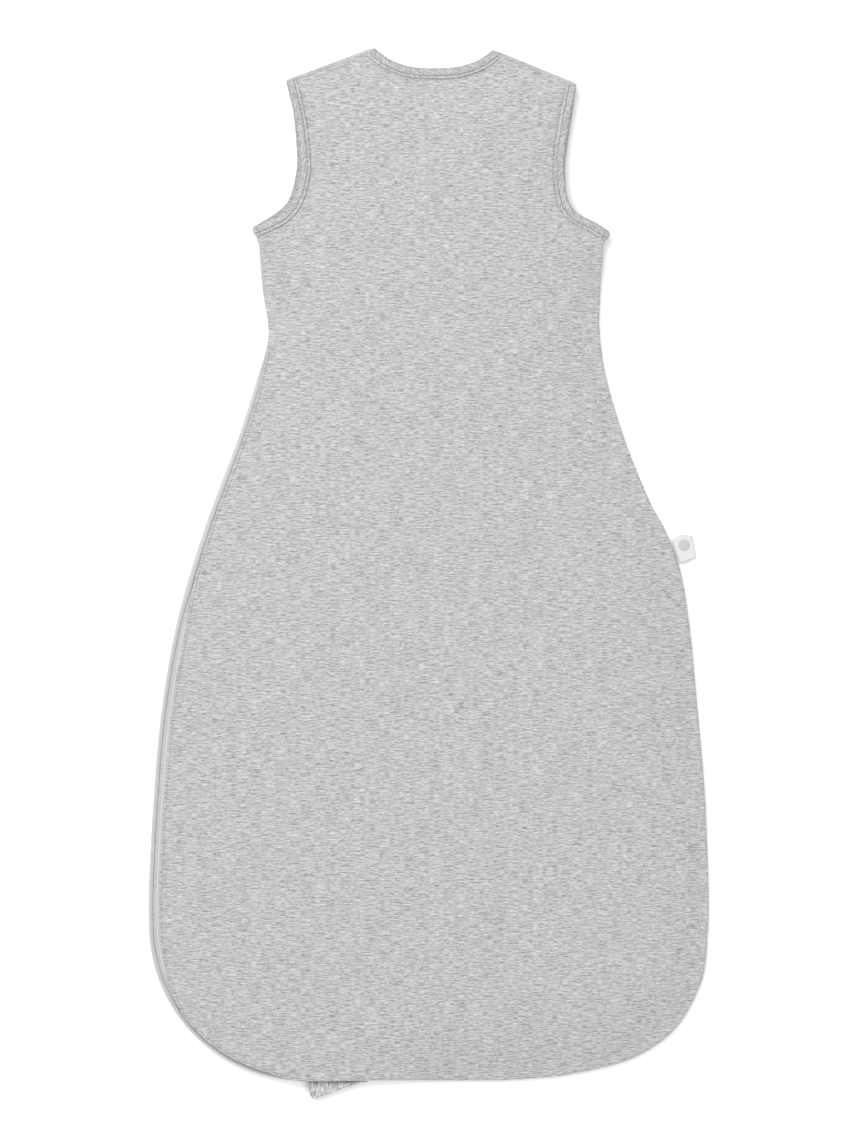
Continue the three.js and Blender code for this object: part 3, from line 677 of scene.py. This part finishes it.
# For each point of the back's edge: its height, how far it rolls down there, the roll's radius,
# how near the zip and a binding are, and how wide the edge's fall from the crown is.
edge_values = np.column_stack([
    back.values(spread=12, zip=zip_top, side=side_top, hem_end=HEM_END_TOP, hem=hem_top,
                bound=OPEN_TOP, fold=OPEN_TOP),
    back.values(spread=4, zip=lambda x, y: np.interp(y, [60, 95], [2.2, 1.0]),
                side=lambda x, y: (side_top(x, y) - LIFT * chest(y)) / 2,
                hem_end=lambda x, y: np.interp(x, [-74, -60, -50], [1.2, 5.9, 10.8]),
                hem=lambda x, y: hem_top(x, y) - SEAM_TOP / 2, bound=0.0, fold=2.6),
    back.values(spread=4, zip=1.2, side=3.2, hem_end=4.5, hem=3.2, bound=1.0, fold=4.0),
    back.values(spread=8, zip=1.0),
    back.values(spread=6, bound=1.0, side=lambda x, y: chest(y)),
    back.values(zip=lambda x, y: np.interp(y, [200, 640], [112, 58]), side=30, hem_end=30,
                hem=30, bound=30, fold=30)])[back_index]


def puckers(points, seed, amount=0.4, reach=13):
    """Small gathers square to the nearest seam, which die away into the panel."""
    gap, nearest = distance(points, back_edge)
    anchor = back_edge[nearest]
    ripple = wobble(anchor, 7.5, seed) + 0.5 * wobble(anchor, 3.6, seed + 5)
    return amount * ripple * np.exp(-gap / reach) * smoothstep(gap / 4)


def back_top(points):
    """Height of the back panel's outside: a rolled edge, then a soft crown."""
    gap = distance(points, back_edge)[0]
    edge, drop, radius, zipped, bound, spread = spread_in(points, back_edge, edge_values).T
    roll = drop * round_off(gap, radius)
    delay = 4 + 4 * bound
    swell = 1 - np.exp(-(np.clip(gap - delay, 0, None) / spread) ** 1.25)
    waves = 0.5 * wobble(points, 95, 3.1) + 0.22 * wobble(points, 38, 8.7)
    groove = 0.7 * bound * np.exp(-((gap - 8.7) / 0.8) ** 2)
    stitch = 0.3 * zipped * np.exp(-((gap - SEAM_INSET) / 0.7) ** 2)
    flat_part = smoothstep((gap - 10) / 40)
    return (edge - roll + (DOME_TOP - 0.4 - edge) * swell + waves * flat_part - groove - stitch
            + puckers(points, 1.7) * (1 - 0.5 * zipped))


front_values = np.column_stack([
    front.values(spread=4, side=lambda x, y: (side_top(x, y) - LIFT * chest(y)) / 2 - 0.15,
                 zip=0.9, hem_end=3.3, hem=2.9, bound=0.0, fold=1.2),
    front.values(spread=4, side=3.2, zip=1.4, hem_end=3.2, hem=3.2, bound=1.0, fold=1.6)])


def front_low(points):
    """Height of the front panel's outside, which lies on the surface but for the chest."""
    gap = distance(points, front.points)[0]
    rise, radius = spread_in(points, front.points, front_values).T
    return LIFT * chest(points[:, 1]) + rise * round_off(gap, radius)


def space_between(outline, points):
    """Room for wadding between a panel's two cloths: nearly shut where they are sewn."""
    gap = distance(points, outline.points)[0]
    return SEWN + WADDED * smoothstep((gap - 9) / 12)


def inset_outline(outline, **by_kind):
    return outline.inset(outline.values(spread=5, **by_kind))[0]


# ---- finishes ---------------------------------------------------------------------------------
marl = marl_material("grey_marl_jersey", 0.37)
binding_marl = binding_material()
rib_marl = marl_material("rib_marl_knit", 0.42, contrast=1.3, streak=(1.0, 5.0), slant=0.12)
cotton = weave_material("white_lining_cotton", 0.66, 0.85, 0.45, 0.00006, (1, 1, 0.985))
tape_weave = weave_material("grey_zip_tape", 0.475, 0.8, 0.7, 0.00008)
filling = wadding_material()
satin = satin_material()
nylon = hard_material("grey_coil_nylon", 0.46, 0.45)
lacquer = hard_material("grey_slider_lacquer", 0.36, 0.38, metallic=0.6)
plastic = hard_material("grey_popper_plastic", 0.42, 0.4)
thread = thread_material("grey_sewing_thread", 0.21)
dot_thread = thread_material("label_dot_thread", 0.42)
# A cloth's thickness, material and slot.
OUTER = (CLOTH, marl, "marl_jersey")
INNER = (LINING, cotton, "lining_cotton")


def stand_for(obj, nodes, body=None):
    """The piece takes the nodes' place, and rides on a body if one is given."""
    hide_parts(*nodes)
    if body:
        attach(obj, body)


def blend_flap(obj):
    """The piece's transform is baked into its points."""
    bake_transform(obj)


# ---- panels -----------------------------------------------------------------------------------
EDGE_ROWS = [0.2, 0.55, 1.0, 1.6, 2.3, 3.1, 4.2, 5.6, 7.2, 8.0, 8.7, 9.5, 11, 13.5, 16.5]


def add_cloth(name, edge, rows, step, height, cloth, nodes, up=True):
    """A panel's cloth inside an edge; height gives its outside's height over any points."""
    thickness, material, slot = cloth
    plan, faces = fill(edge, rows, step)
    obj = thick_sheet(name, plan, faces, height(plan), thickness, material, up)
    stand_for(obj, nodes)
    return obj


def add_padding(name, outline, edge, step, height, way, nodes):
    """Wadding inside an edge, from height by the outer cloth and into the panel, down or up."""
    plan, faces = fill(edge, [1.2, 3], step)
    thin = 0.4 + 0.6 * smoothstep(distance(plan, edge)[0] / 6)
    near = height(plan)
    far = near + way * (space_between(outline, plan) - 0.6) * thin
    obj = slab(name, plan, faces, *[near, far][::way], filling)
    stand_for(obj, nodes)
    return obj


def build_back():
    cloth = add_cloth("back_cloth", back_edge, EDGE_ROWS, 4.0, back_top, OUTER,
                      ("back_outer", "back_outer_flap"))
    blend_flap(cloth)

    edge = inset_outline(back, zip=17, hem_end=17, hem=14, side=14, bound=21, fold=18)
    pad = add_padding("back_padding", back, edge, 7.0,
                      lambda plan: back_top(plan) - CLOTH - PADDING_GAP, -1,
                      ("back_wadding", "back_wadding_flap"))
    blend_flap(pad)

    def under(plan):
        """Height of the lining, which passes under the zip's tape."""
        height = back_top(plan) - CLOTH - space_between(back, plan) - LINING
        zipped = spread_in(plan, back_edge, edge_values[:, 3:4])[:, 0]
        near_zip = zipped * (1 - smoothstep((distance(plan, back.points)[0] - 19) / 14))
        return height + (np.minimum(height, LINING_BY_ZIP) - height) * near_zip

    edge = inset_outline(back, zip=10.5, hem_end=15, hem=1.8, side=1.8, bound=0.6, fold=3)
    lining = add_cloth("back_inner_lining", edge, [1.5, 3, 4.5, 6, 8], 4.5, under, INNER,
                       ("back_lining", "back_lining_flap"), up=False)
    blend_flap(lining)


def build_front():
    edge = inset_outline(front, zip=0.9)
    cloth = add_cloth("front_cloth", edge, [0.3, 0.8, 1.5, 2.4, 3.4, 5, 8, 12], 6.0, front_low,
                      OUTER, ("front_outer",), up=False)
    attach(cloth, "bag")

    edge = inset_outline(front, zip=16, hem_end=14, hem=14, side=14, bound=21, fold=18)
    pad = add_padding("front_padding", front, edge, 8.0,
                      lambda plan: front_low(plan) + CLOTH + PADDING_GAP, 1, ("front_wadding",))
    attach(pad, "bag")

    edge = inset_outline(front, zip=2.2, hem_end=1.8, hem=1.8, side=1.8, bound=0.6, fold=0.8)

    def over(plan):
        """Height of the lining, which lies on the wadding in slow waves."""
        return (LIFT * chest(plan[:, 1]) + CLOTH + space_between(front, plan) + 0.75
                + 0.25 * wobble(plan, 60, 2.2) * smoothstep(distance(plan, edge)[0] / 30))

    lining = add_cloth("front_inner_lining", edge, [1.5, 4, 8], 6.0, over, INNER,
                       ("front_lining",))
    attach(lining, "bag")


# ---- bindings ---------------------------------------------------------------------------------
BINDING_STEP = 0.8


def binding_section(stack, swell=1.0):
    """A folded strip round an edge: plump on both faces, dented where it is stitched."""
    face = [(8.0, 0.3), (8.2, 0.55), (8.0, 0.9), (7.5, 1.06), (7.0, 0.9), (6.6, 0.6), (6.2, 0.9),
            (5.2, 0.98 + 0.12 * swell), (3.6, 1.0 + 0.2 * swell), (2.0, 1.0 + 0.14 * swell),
            (0.6, 0.85), (-0.4, 0.4)]
    upper = [(u, stack + h) for u, h in face]
    lower = [(u, -h) for u, h in reversed(face)]
    nose = [(-0.85, stack * 0.75), (-0.95, stack * 0.5), (-0.85, stack * 0.25)]
    bore = [(8.0, -0.05), (1.5, -0.05), (0.0, 0.25), (-0.25, stack * 0.5), (0.0, stack - 0.25),
            (1.5, stack + 0.05), (8.0, stack + 0.05)]
    return upper + nose + lower + bore


def run_out(path, by):
    """The path carried on past its last point."""
    step = path[-1] - path[-2]
    ahead = step / np.linalg.norm(step) * BINDING_STEP
    more = path[-1] + ahead * np.arange(1, int(by / BINDING_STEP) + 1)[:, None]
    return np.vstack([path, more])


def add_binding(name, points, base, node, ends, fold=0.0):
    """A binding along an edge; its ends are a "tab" past the seam or a "shoulder" that folds."""
    path = smooth(points, BINDING_STEP)
    if ends[0] == "tab":
        path = run_out(path[::-1], 1.6)[::-1]
    if ends[1] == "tab":
        path = run_out(path, 1.6)
    insides = into_bag(path)
    swell = 1 + 0.9 * wobble(path, 5.5, base)
    sections = np.array([binding_section(STACK, s) for s in swell])
    middle = np.array([3.8, STACK / 2])
    height = np.full(len(path), base)
    for end, kind in zip((0, -1), ends):
        shares = (0.5, 0.72, 0.88, 0.96) if kind == "tab" else (0.86, 0.96)
        for k, share in enumerate(shares):
            at = k if end == 0 else -1 - k
            sections[at] = middle + (sections[at] - middle) * share
        if kind == "shoulder":
            away = np.linalg.norm(path - path[end], axis=1)
            height -= fold * round_off(away, 3.2)
            rounding = 1.5 * (1 - np.clip(away / 2.6, 0, 1)) ** 2
            sections[:, :, 0] += rounding[:, None] * (1 - smoothstep(sections[:, :, 0] / 6))
    obj = sweep(name, at_height(path, height), insides, sections, binding_marl)
    stand_for(obj, (node,), "bag")
    lines = [at_height(path + insides[:, :2] * 5.3, height + STACK + 1.2)[2:-2]]
    for end, kind in zip((0, -1), ends):
        if kind == "tab":
            at = 6 if end == 0 else -7
            across = path[at] + insides[at, :2] * np.array([[0.4], [7.6]])
            lines.append(at_height(across, base + STACK + 1.25))
    return lines


def stitches(name, lines, length=1.9, pitch=2.8, radius=0.26):
    """A row of short stitches along each line, each a little rounded bar of thread."""
    bars = []
    for line in lines:
        even = respace(line, pitch)
        for centre, step in zip((even[:-1] + even[1:]) / 2, units(np.diff(even, axis=0))):
            side = np.cross(step, UP)
            side /= np.linalg.norm(side)
            middles = [centre + step * along * length for along in (-0.5, -0.3, 0.3, 0.5)]
            bars.append((middles, (0.35, 1.0, 1.0, 0.35), side * radius,
                         np.cross(side, step) * 0.7 * radius))
    obj = rounded_bars(name, bars, 6, thread)
    return obj


def build_bindings():
    seams = []
    for name, back_line, front_line, ends in (
            ("neck_binding", BACK_NECK, FRONT_NECK, ("shoulder", "shoulder")),
            ("armhole_binding_left", BACK_LEFT_ARMHOLE, FRONT_LEFT_ARMHOLE, ("shoulder", "tab")),
            ("armhole_binding_right", BACK_RIGHT_ARMHOLE, FRONT_RIGHT_ARMHOLE,
             ("tab", "shoulder"))):
        seams += add_binding(f"{name}_back_strip", back_line, OPEN_TOP - STACK, f"{name}_back",
                             ends, fold=2.6)
        seams += add_binding(f"{name}_front_strip", front_line, LIFT, f"{name}_front", ends)
    row = stitches("binding_stitches", seams, length=1.8, pitch=2.6, radius=0.34)
    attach(row, "bag")


# ---- zip --------------------------------------------------------------------------------------
FRONT_CHAIN = (ZIP_HEAD_Y, 12)      # its head, and its end as an angle round the corner
BACK_CHAIN = (632, 10)
COIL_GAP = 0.09                     # from the chain's middle to each coil
TAPE_GAP = 0.12                     # from the chain's middle to each tape


def zip_path(head_y, end_angle, spacing=1.0):
    side = smooth(LEFT_SIDE, 0.5)
    side = side[side[:, 1] < head_y]
    return respace(np.vstack([side[:-1], corner_arc(-90, end_angle, spacing=0.5)]), spacing)


def chain_shift(y):
    """Over the thigh the chain tucks further under the back's edge."""
    return 1.7 * smoothstep((y - 395) / 50)


def chain_path(head_y, end_angle):
    path = zip_path(head_y, end_angle)
    return path + into_bag(path)[:, :2] * chain_shift(path[:, 1])[:, None]


def rounded_strip(u0, u1, z0, z1):
    r = min(u1 - u0, z1 - z0) * 0.3
    return [(u0, z0 + r), (u0 + r, z0), (u1 - r, z0), (u1, z0 + r), (u1, z1 - r), (u1 - r, z1),
            (u0 + r, z1), (u0, z1 - r)]


def coil(name, path, u0, u1, nodes, body=None, pitch=1.45):
    """A coil's turns: rounded bars side by side across the chain."""
    middle = respace(path, pitch)
    steps = at_height(units(np.gradient(middle, axis=0)), 0)
    bars = []
    for centre, into, step in zip(at_height(middle, CHAIN_MIDDLE), into_bag(middle), steps):
        middles = [centre + into * (u0 + share * (u1 - u0)) for share in (0.0, 0.18, 0.82, 1.0)]
        bars.append((middles, (0.55, 0.95, 0.95, 0.6), step * 0.55, UP * 1.12))
    obj = rounded_bars(name, bars, 8, nylon)
    tidy_normals(obj)
    stand_for(obj, nodes, body)
    return obj


def tape(name, path, section, nodes, body=None):
    insides = into_bag(path)
    obj = sweep(name, at_height(path, 0), insides, section, tape_weave, girth=True)
    stand_for(obj, nodes, body)
    return obj


def build_zip():
    whole = zip_path(*FRONT_CHAIN)
    # The front tape comes out between the front's two cloths and turns up round its edge.
    lip = CHAIN_CENTRE - TAPE_GAP
    wall = [(5, 1.2), (5, 1.65), (1.0, 1.65), (0.6, 1.9), (0.5, 2.4), (0.5, 7.4), (0.6, 7.7),
            (0.9, 7.8), (lip, 7.8), (lip, 8.5), (0.8, 8.5), (0.25, 8.3), (0.0, 7.7), (0.0, 2.0),
            (0.25, 1.4), (0.9, 1.2)]
    walls = np.repeat(np.array(wall)[None], len(whole), 0)
    walls[:, 8:10, 0] += chain_shift(whole[:, 1])[:, None]
    walls[:, 5:13, 1] -= 3.2 * smoothstep((whole[:, 1] - 612) / 28)[:, None]
    tape("zip_front_tape", whole, walls, ("zip_tape_front",), "bag")
    back_path = chain_path(*BACK_CHAIN)
    back_tape = tape("zip_back_tape", back_path,
                     rounded_strip(CHAIN_CENTRE + TAPE_GAP, 14, 7.75, 8.5),
                     ("zip_tape_back_flap", "zip_tape_back_end"))
    coil("zip_front_coil", chain_path(*FRONT_CHAIN), 0.8, CHAIN_CENTRE - COIL_GAP,
         ("zip_coil_front",), "bag")
    back_coil = coil("zip_back_coil", back_path, 6.6, CHAIN_CENTRE + COIL_GAP,
                     ("zip_coil_back_flap", "zip_coil_back_end"))

    line = back_edge[(edge_values[:, 3] > 0.5)]
    line = respace(line[np.argsort(-line[:, 1])], FINE)
    seam = line + into_bag(line)[:, :2] * SEAM_INSET
    row = stitches("zip_topstitches", [at_height(seam, back_top(seam) + 0.1)])
    for piece in (back_tape, back_coil, row):
        blend_flap(piece)


# ---- small hard parts -------------------------------------------------------------------------
def soften(work, edges, width):
    bmesh.ops.bevel(work, geom=edges, offset=width * MM, segments=2, affect="EDGES",
                    clamp_overlap=True)


def prism(name, outline, low, high, material, edge=0.25):
    """A plate with softened edges; outline is in millimetres."""
    obj = make_object(name, at_height(np.array(outline, float), low),
                      [list(range(len(outline)))], material, flat=True)
    with editing(obj) as work:
        grown = bmesh.ops.extrude_face_region(work, geom=work.faces[:])
        moved = [v for v in grown["geom"] if isinstance(v, bmesh.types.BMVert)]
        bmesh.ops.translate(work, verts=moved, vec=(0, 0, (high - low) * MM))
        bmesh.ops.recalc_face_normals(work, faces=work.faces)
        soften(work, work.edges[:], edge)
    return obj


def lathe(name, profile, centre, material, segments=40, base=0.0):
    """A turned part about a vertical axis; profile is a closed line of (radius, height)."""
    angles = np.linspace(0, math.tau, segments, endpoint=False)
    points = np.array([(centre[0] + r * math.cos(a), centre[1] + r * math.sin(a), base + z)
                       for a in angles for r, z in profile])
    n = len(profile)
    faces = [(a + i, b + i, b + (i + 1) % n, a + (i + 1) % n)
             for a, b in ((s * n, (s + 1) % segments * n) for s in range(segments))
             for i in range(n)]
    obj = make_object(name, points, faces, material)
    with editing(obj) as work:
        bmesh.ops.remove_doubles(work, verts=work.verts, dist=1e-6)
        bmesh.ops.dissolve_degenerate(work, edges=work.edges, dist=1e-7)
        bmesh.ops.recalc_face_normals(work, faces=work.faces)
    return obj


def joined(name, *objects):
    first = objects[0]
    with bpy.context.temp_override(active_object=first, selected_editable_objects=list(objects)):
        bpy.ops.object.join()
    first.name = name
    first.data.name = name
    return first


def build_slider():
    angle = math.radians(5)
    radius = CORNER_RADIUS - CHAIN_CENTRE
    seat = CORNER + radius * np.array([math.sin(angle), -math.cos(angle)])
    turn = np.array([[math.cos(angle), -math.sin(angle)], [math.sin(angle), math.cos(angle)]])

    def placed(shape):
        return np.array(shape, float) @ turn.T + seat

    plate = [(-7, -1.6), (-6, -2.3), (-3, -3), (4, -3), (6.4, -2.7), (7, -2.2), (7, 2.2),
             (6.4, 2.7), (4, 3), (-3, 3), (-6, 2.3), (-7, 1.6)]
    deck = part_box("slider_body")[0][2] / MM + 4.9
    lower = prism("slider_lower", placed(plate), deck - 4.9, deck - 4.0, lacquer)
    upper = prism("slider_upper", placed(plate), deck - 0.8, deck, lacquer)
    web = prism("slider_web", placed([(1.5, -0.08), (4.5, -0.08), (4.5, 0.08), (1.5, 0.08)]),
                deck - 4.1, deck - 0.7, lacquer, 0.05)
    crown = lathe("slider_crown", [(0, -0.3), (1.1, -0.3), (1.1, 1.35), (1.9, 1.5), (2.2, 1.75),
                                   (2.0, 2.0), (1.2, 2.1), (0, 2.1)], seat, lacquer, 28, deck)
    body = joined("zip_slider", lower, upper, web, crown)
    stand_for(body, ("slider_body",), "slider")

    outside = [(19 + 2.2 * math.cos(a), 2.2 * math.sin(a)) for a in np.linspace(-1.57, 1.57, 14)]
    outside += [(2.8 * math.cos(a), 2.8 * math.sin(a)) for a in np.linspace(1.57, 4.71, 14)]
    hole = [(1.5 * math.cos(a), 1.5 * math.sin(a)) for a in np.linspace(0, math.tau, 20, False)]
    ring = ring_plate("zip_pull", placed(outside), placed(hole), deck + 0.3, deck + 1.2, lacquer)
    stand_for(ring, ("pull_tab",), "pull")


def ring_plate(name, outline, hole, low, high, material):
    count = len(outline)
    points = np.vstack([outline, hole])
    loops = [list(range(count)), list(range(count, len(points)))]
    edges = [(loop[i], loop[(i + 1) % len(loop)]) for loop in loops for i in range(len(loop))]
    found = delaunay_2d_cdt([Vector(p) for p in points], edges, [], 2, 1e-6)
    plan = np.array([tuple(v) for v in found[0]])
    middle = hole.mean(0)
    clear = np.linalg.norm(hole - middle, axis=1).min()
    faces = np.array([f for f in found[2]
                      if np.linalg.norm(plan[list(f)].mean(0) - middle) > 0.9 * clear])
    obj = slab(name, plan, faces, np.full(len(plan), low), np.full(len(plan), high), material)
    for polygon in obj.data.polygons:
        polygon.use_smooth = False
    with editing(obj) as work:
        sharp = [e for e in work.edges if len(e.link_faces) == 2
                 and e.link_faces[0].normal.dot(e.link_faces[1].normal) < 0.4]
        soften(work, sharp, 0.18)
    return obj


def finish_stops():
    """The two zip stops keep their modelled shape and get the slider's finish."""
    for node in ("zip_top_stop", "zip_bottom_stop"):
        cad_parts[node].data.materials[0] = lacquer


# ---- garage and label -------------------------------------------------------------------------
def tab_shape(corners, spacing, rows, step):
    """Points and faces of a small tab's plan, and how far each point is from its edge."""
    edge = respace(np.array([*corners, corners[0]], float), spacing)[:-1]
    plan, faces = fill(edge, rows, step)
    return plan, faces, distance(plan, edge)[0]


def build_garage():
    corners = [(-107, -0.4), (-105.4, -7), (-103.8, -12.6), (-102.4, -14.8), (-100.4, -15.9),
               (-98, -15.6), (-84.5, -10.5), (-71, -5.4), (-60, -2.5), (-53, -0.9), (-53, -0.4)]
    plan, faces, gap = tab_shape(corners, 0.7, [0.15, 0.4, 0.8], 0.75)
    hem = np.clip(-plan[:, 1] / 4, 0, 1)
    soft = 1.5 * (1 - round_off(gap, 1.3))
    ribs = 0.16 * np.cos(plan[:, 0] * math.tau / 2.3) * smoothstep(gap / 1.5)
    puff = 0.25 * smoothstep(gap / 5) * (0.4 + 0.6 * hem)
    pad = slab("zip_garage_tab", plan, faces, 5.65 - soft * 0.95, 5.65 + soft + ribs + puff,
               rib_marl)
    stand_for(pad, ("zip_garage",), "garage")


def build_label():
    corners = [(211.6, 471), (220, 476), (229.5, 475), (233, 456), (221, 451), (218.2, 452)]
    plan, faces, gap = tab_shape(corners, 0.8, [0.12, 0.3, 0.6], 1.0)
    out = smoothstep((plan[:, 0] - 214) / 14)
    curl = 0.35 * out + 0.12 * wobble(plan, 7, 4.4)
    soft = 0.5 * (1 - round_off(gap, 0.5))
    tab = slab("side_label_tab", plan, faces, 3.0 - soft + curl * 0.4, 3.1 + soft + curl * 0.4,
               satin)
    dot = lathe("side_label_dot", [(0, 0), (4.9, -0.1), (5.1, 0), (4.9, 0.12), (0, 0.2)],
                (222.7, 466.6), dot_thread, 36, base=3.7)
    stand_for(tab, ("side_label",), "label")
    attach(dot, "label")


# ---- shoulder straps --------------------------------------------------------------------------
STRAP_LENGTH = 48
ROOT_HALF = 37
END_HALF = 26
END_ROUND = 18                      # length of the strap's rounded end
STRAP_COLUMNS = 41
FOLD_AXIS_Z = 8.0
POPPER_IN = 31                      # from the fold to the poppers' middle
STRAP_CLOTH = 0.7


def strap_half_width(v):
    """Half the strap's width at v mm from the fold, before its rounded end."""
    return ROOT_HALF + (END_HALF - ROOT_HALF) * smoothstep((v - 3) / 27)


def fold_profile(low, top, reach, wall):
    """From the back's top, down past the shoulder's edge at v = wall, and under, as (v, z)."""
    radius = 3.2 - wall
    corner = np.linspace(0, math.pi / 2, 7)
    upper = [(3.2 - radius * math.sin(a), top - radius * (1 - math.cos(a))) for a in corner]
    down = [(wall, z) for z in np.arange(top - radius - 1.2, low + radius + 0.6, -1.2)]
    lower = [(3.2 - radius * math.cos(a), low + radius - radius * math.sin(a)) for a in corner]
    run = [(v, low) for v in np.arange(4.0, reach, 1.6)]
    return np.array(upper + down + lower + run + [(reach, low)])


def build_strap(side, start, end):
    """A shoulder end of the back, which folds over the front's shoulder, start to end."""
    start, end = np.array(start, float), np.array(end, float)
    middle = (start + end) / 2
    along = (end - start) / np.linalg.norm(end - start)
    into = np.array([-along[1], along[0]])
    body = f"strap_{side}"

    def place(u, v, z):
        """Points at u along the fold, v into the bag, and height z."""
        flat = middle + along * np.asarray(u)[:, None] + into * np.asarray(v)[:, None]
        return at_height(flat, np.asarray(z))

    def band(name, low, top, cloth, node, inset=0.0):
        """A width of cloth that folds over from height top to height low, and its sheet."""
        _, material, slot = cloth
        profile = fold_profile(low, top, STRAP_LENGTH - inset, 3.5 * inset)
        across = np.linspace(-1, 1, STRAP_COLUMNS)
        each = np.ones(STRAP_COLUMNS)
        grid, plan = [], []
        for (v, z), along_cloth in zip(profile, travelled(profile)):
            under = z < FOLD_AXIS_Z
            half = (strap_half_width(v) if under else ROOT_HALF) - inset
            over_end = v - (STRAP_LENGTH - END_ROUND)
            if over_end > 0 and under:
                share = max(1 - (over_end / (END_ROUND - inset)) ** 2, 0.0)
                half *= math.sqrt(share * 0.985 + 0.015)
            grid.append(place(across * half, each * v, each * z))
            plan.append(np.column_stack([across * half, each * along_cloth]))
        points = np.vstack(grid)
        starts = [r * STRAP_COLUMNS + k for r in range(len(grid) - 1)
                  for k in range(STRAP_COLUMNS - 1)]
        faces = np.array([face for a in starts for b in [a + STRAP_COLUMNS]
                          for face in ((a, b, b + 1), (a, b + 1, a + 1))])
        normals = vertex_normals(points, faces)
        if normals[0][2] < 0:
            faces, normals = faces[:, ::-1], -normals
        obj = shell(name, points, points - normals * STRAP_CLOTH, faces, material,
                    np.vstack(plan))
        stand_for(obj, (node,))
        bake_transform(obj)

    band(f"strap_{side}_cloth", 1.2, OPEN_TOP - 0.1, OUTER, f"strap_{side}_outer")
    band(f"strap_{side}_inner_lining", 2.2, OPEN_TOP - 1.2, INNER, f"strap_{side}_lining", 0.3)

    # The strap's binding starts under the end of the panel's, and goes down and round the strap.
    # Each point has u, v, z and how far the binding has turned over.
    low = 1.6
    arc = np.linspace(0, math.pi, 40)
    tip = [(END_HALF * math.cos(a), STRAP_LENGTH - END_ROUND + END_ROUND * math.sin(a), low,
            math.pi) for a in arc]
    wall = [(ROOT_HALF, 1.1, z, math.pi / 2) for z in np.arange(10.4, low + 3.4, -0.7)]
    down = [(ROOT_HALF, 4.4 - 3.3 * math.cos(a), low + 3.3 - 3.3 * math.sin(a), a + math.pi / 2)
            for a in np.linspace(0, math.pi / 2, 9)]
    run = [(float(strap_half_width(v)), v, low, math.pi)
           for v in np.arange(5.6, STRAP_LENGTH - END_ROUND, 1.4)]
    right = wall + down + run
    left = [(-u, v, z, turn) for u, v, z, turn in reversed(right)]
    u, v, z, turn = (np.array(column) for column in zip(*right, *tip, *left))
    path = place(u, v, z)
    outward = np.array([*-into, 0.0])
    ups = np.array([math.cos(t) * UP + math.sin(t) * outward for t in turn])
    insides = units(np.cross(ups, units(np.gradient(path, axis=0))))
    if insides[len(path) // 2] @ [*into, 0] > 0:
        insides = -insides
    thin = 1.7
    section = [(a, b - thin) for a, b in binding_section(thin)]
    obj = sweep(f"strap_{side}_edge_binding", path, insides, section, binding_marl, ups[:, None])
    stand_for(obj, (f"strap_{side}_binding",))
    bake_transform(obj)

    cap_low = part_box(f"strap_{side}_popper_cap")[0][2] / MM
    for host, kind, base, profile in (
            ("strap", "cap", cap_low,
             [(0, 0.25), (3.2, 0.15), (4.6, 0), (5.3, 0.15), (5.5, 0.45), (5.3, 0.8), (0, 0.8)]),
            ("strap", "socket", 0.0, [(2.4, 3.2), (5.3, 3.2), (5.5, 3.4), (5.3, 3.75), (4.4, 3.8),
                                      (4.1, 4.15), (2.9, 4.2), (2.5, 3.9)]),
            ("front", "stud", 0.0, [(0, 3.4), (1.5, 3.45), (1.9, 3.8), (1.6, 4.3), (1.75, 4.8),
                                    (5.3, 4.85), (5.5, 5.05), (5.3, 5.3), (0, 5.3)]),
            ("front", "post", 0.0, [(0, 10.5), (5.3, 10.5), (5.5, 10.65), (5.2, 10.85),
                                    (4.0, 10.95), (0, 10.9)])):
        part = lathe(f"{host}_{side}_{kind}", profile, middle + into * POPPER_IN, plastic,
                     base=base)
        stand_for(part, (f"{host}_{side}_popper_{kind}",),
                  body if host == "strap" else "bag")


add_camera()
add_studio()
build_back()
build_front()
build_bindings()
build_zip()
build_slider()
finish_stops()
build_garage()
build_label()
build_strap("left", BACK_NECK[-1], BACK_LEFT_ARMHOLE[0])
build_strap("right", BACK_RIGHT_ARMHOLE[-1], BACK_NECK[0])

bpy.context.view_layer.update()
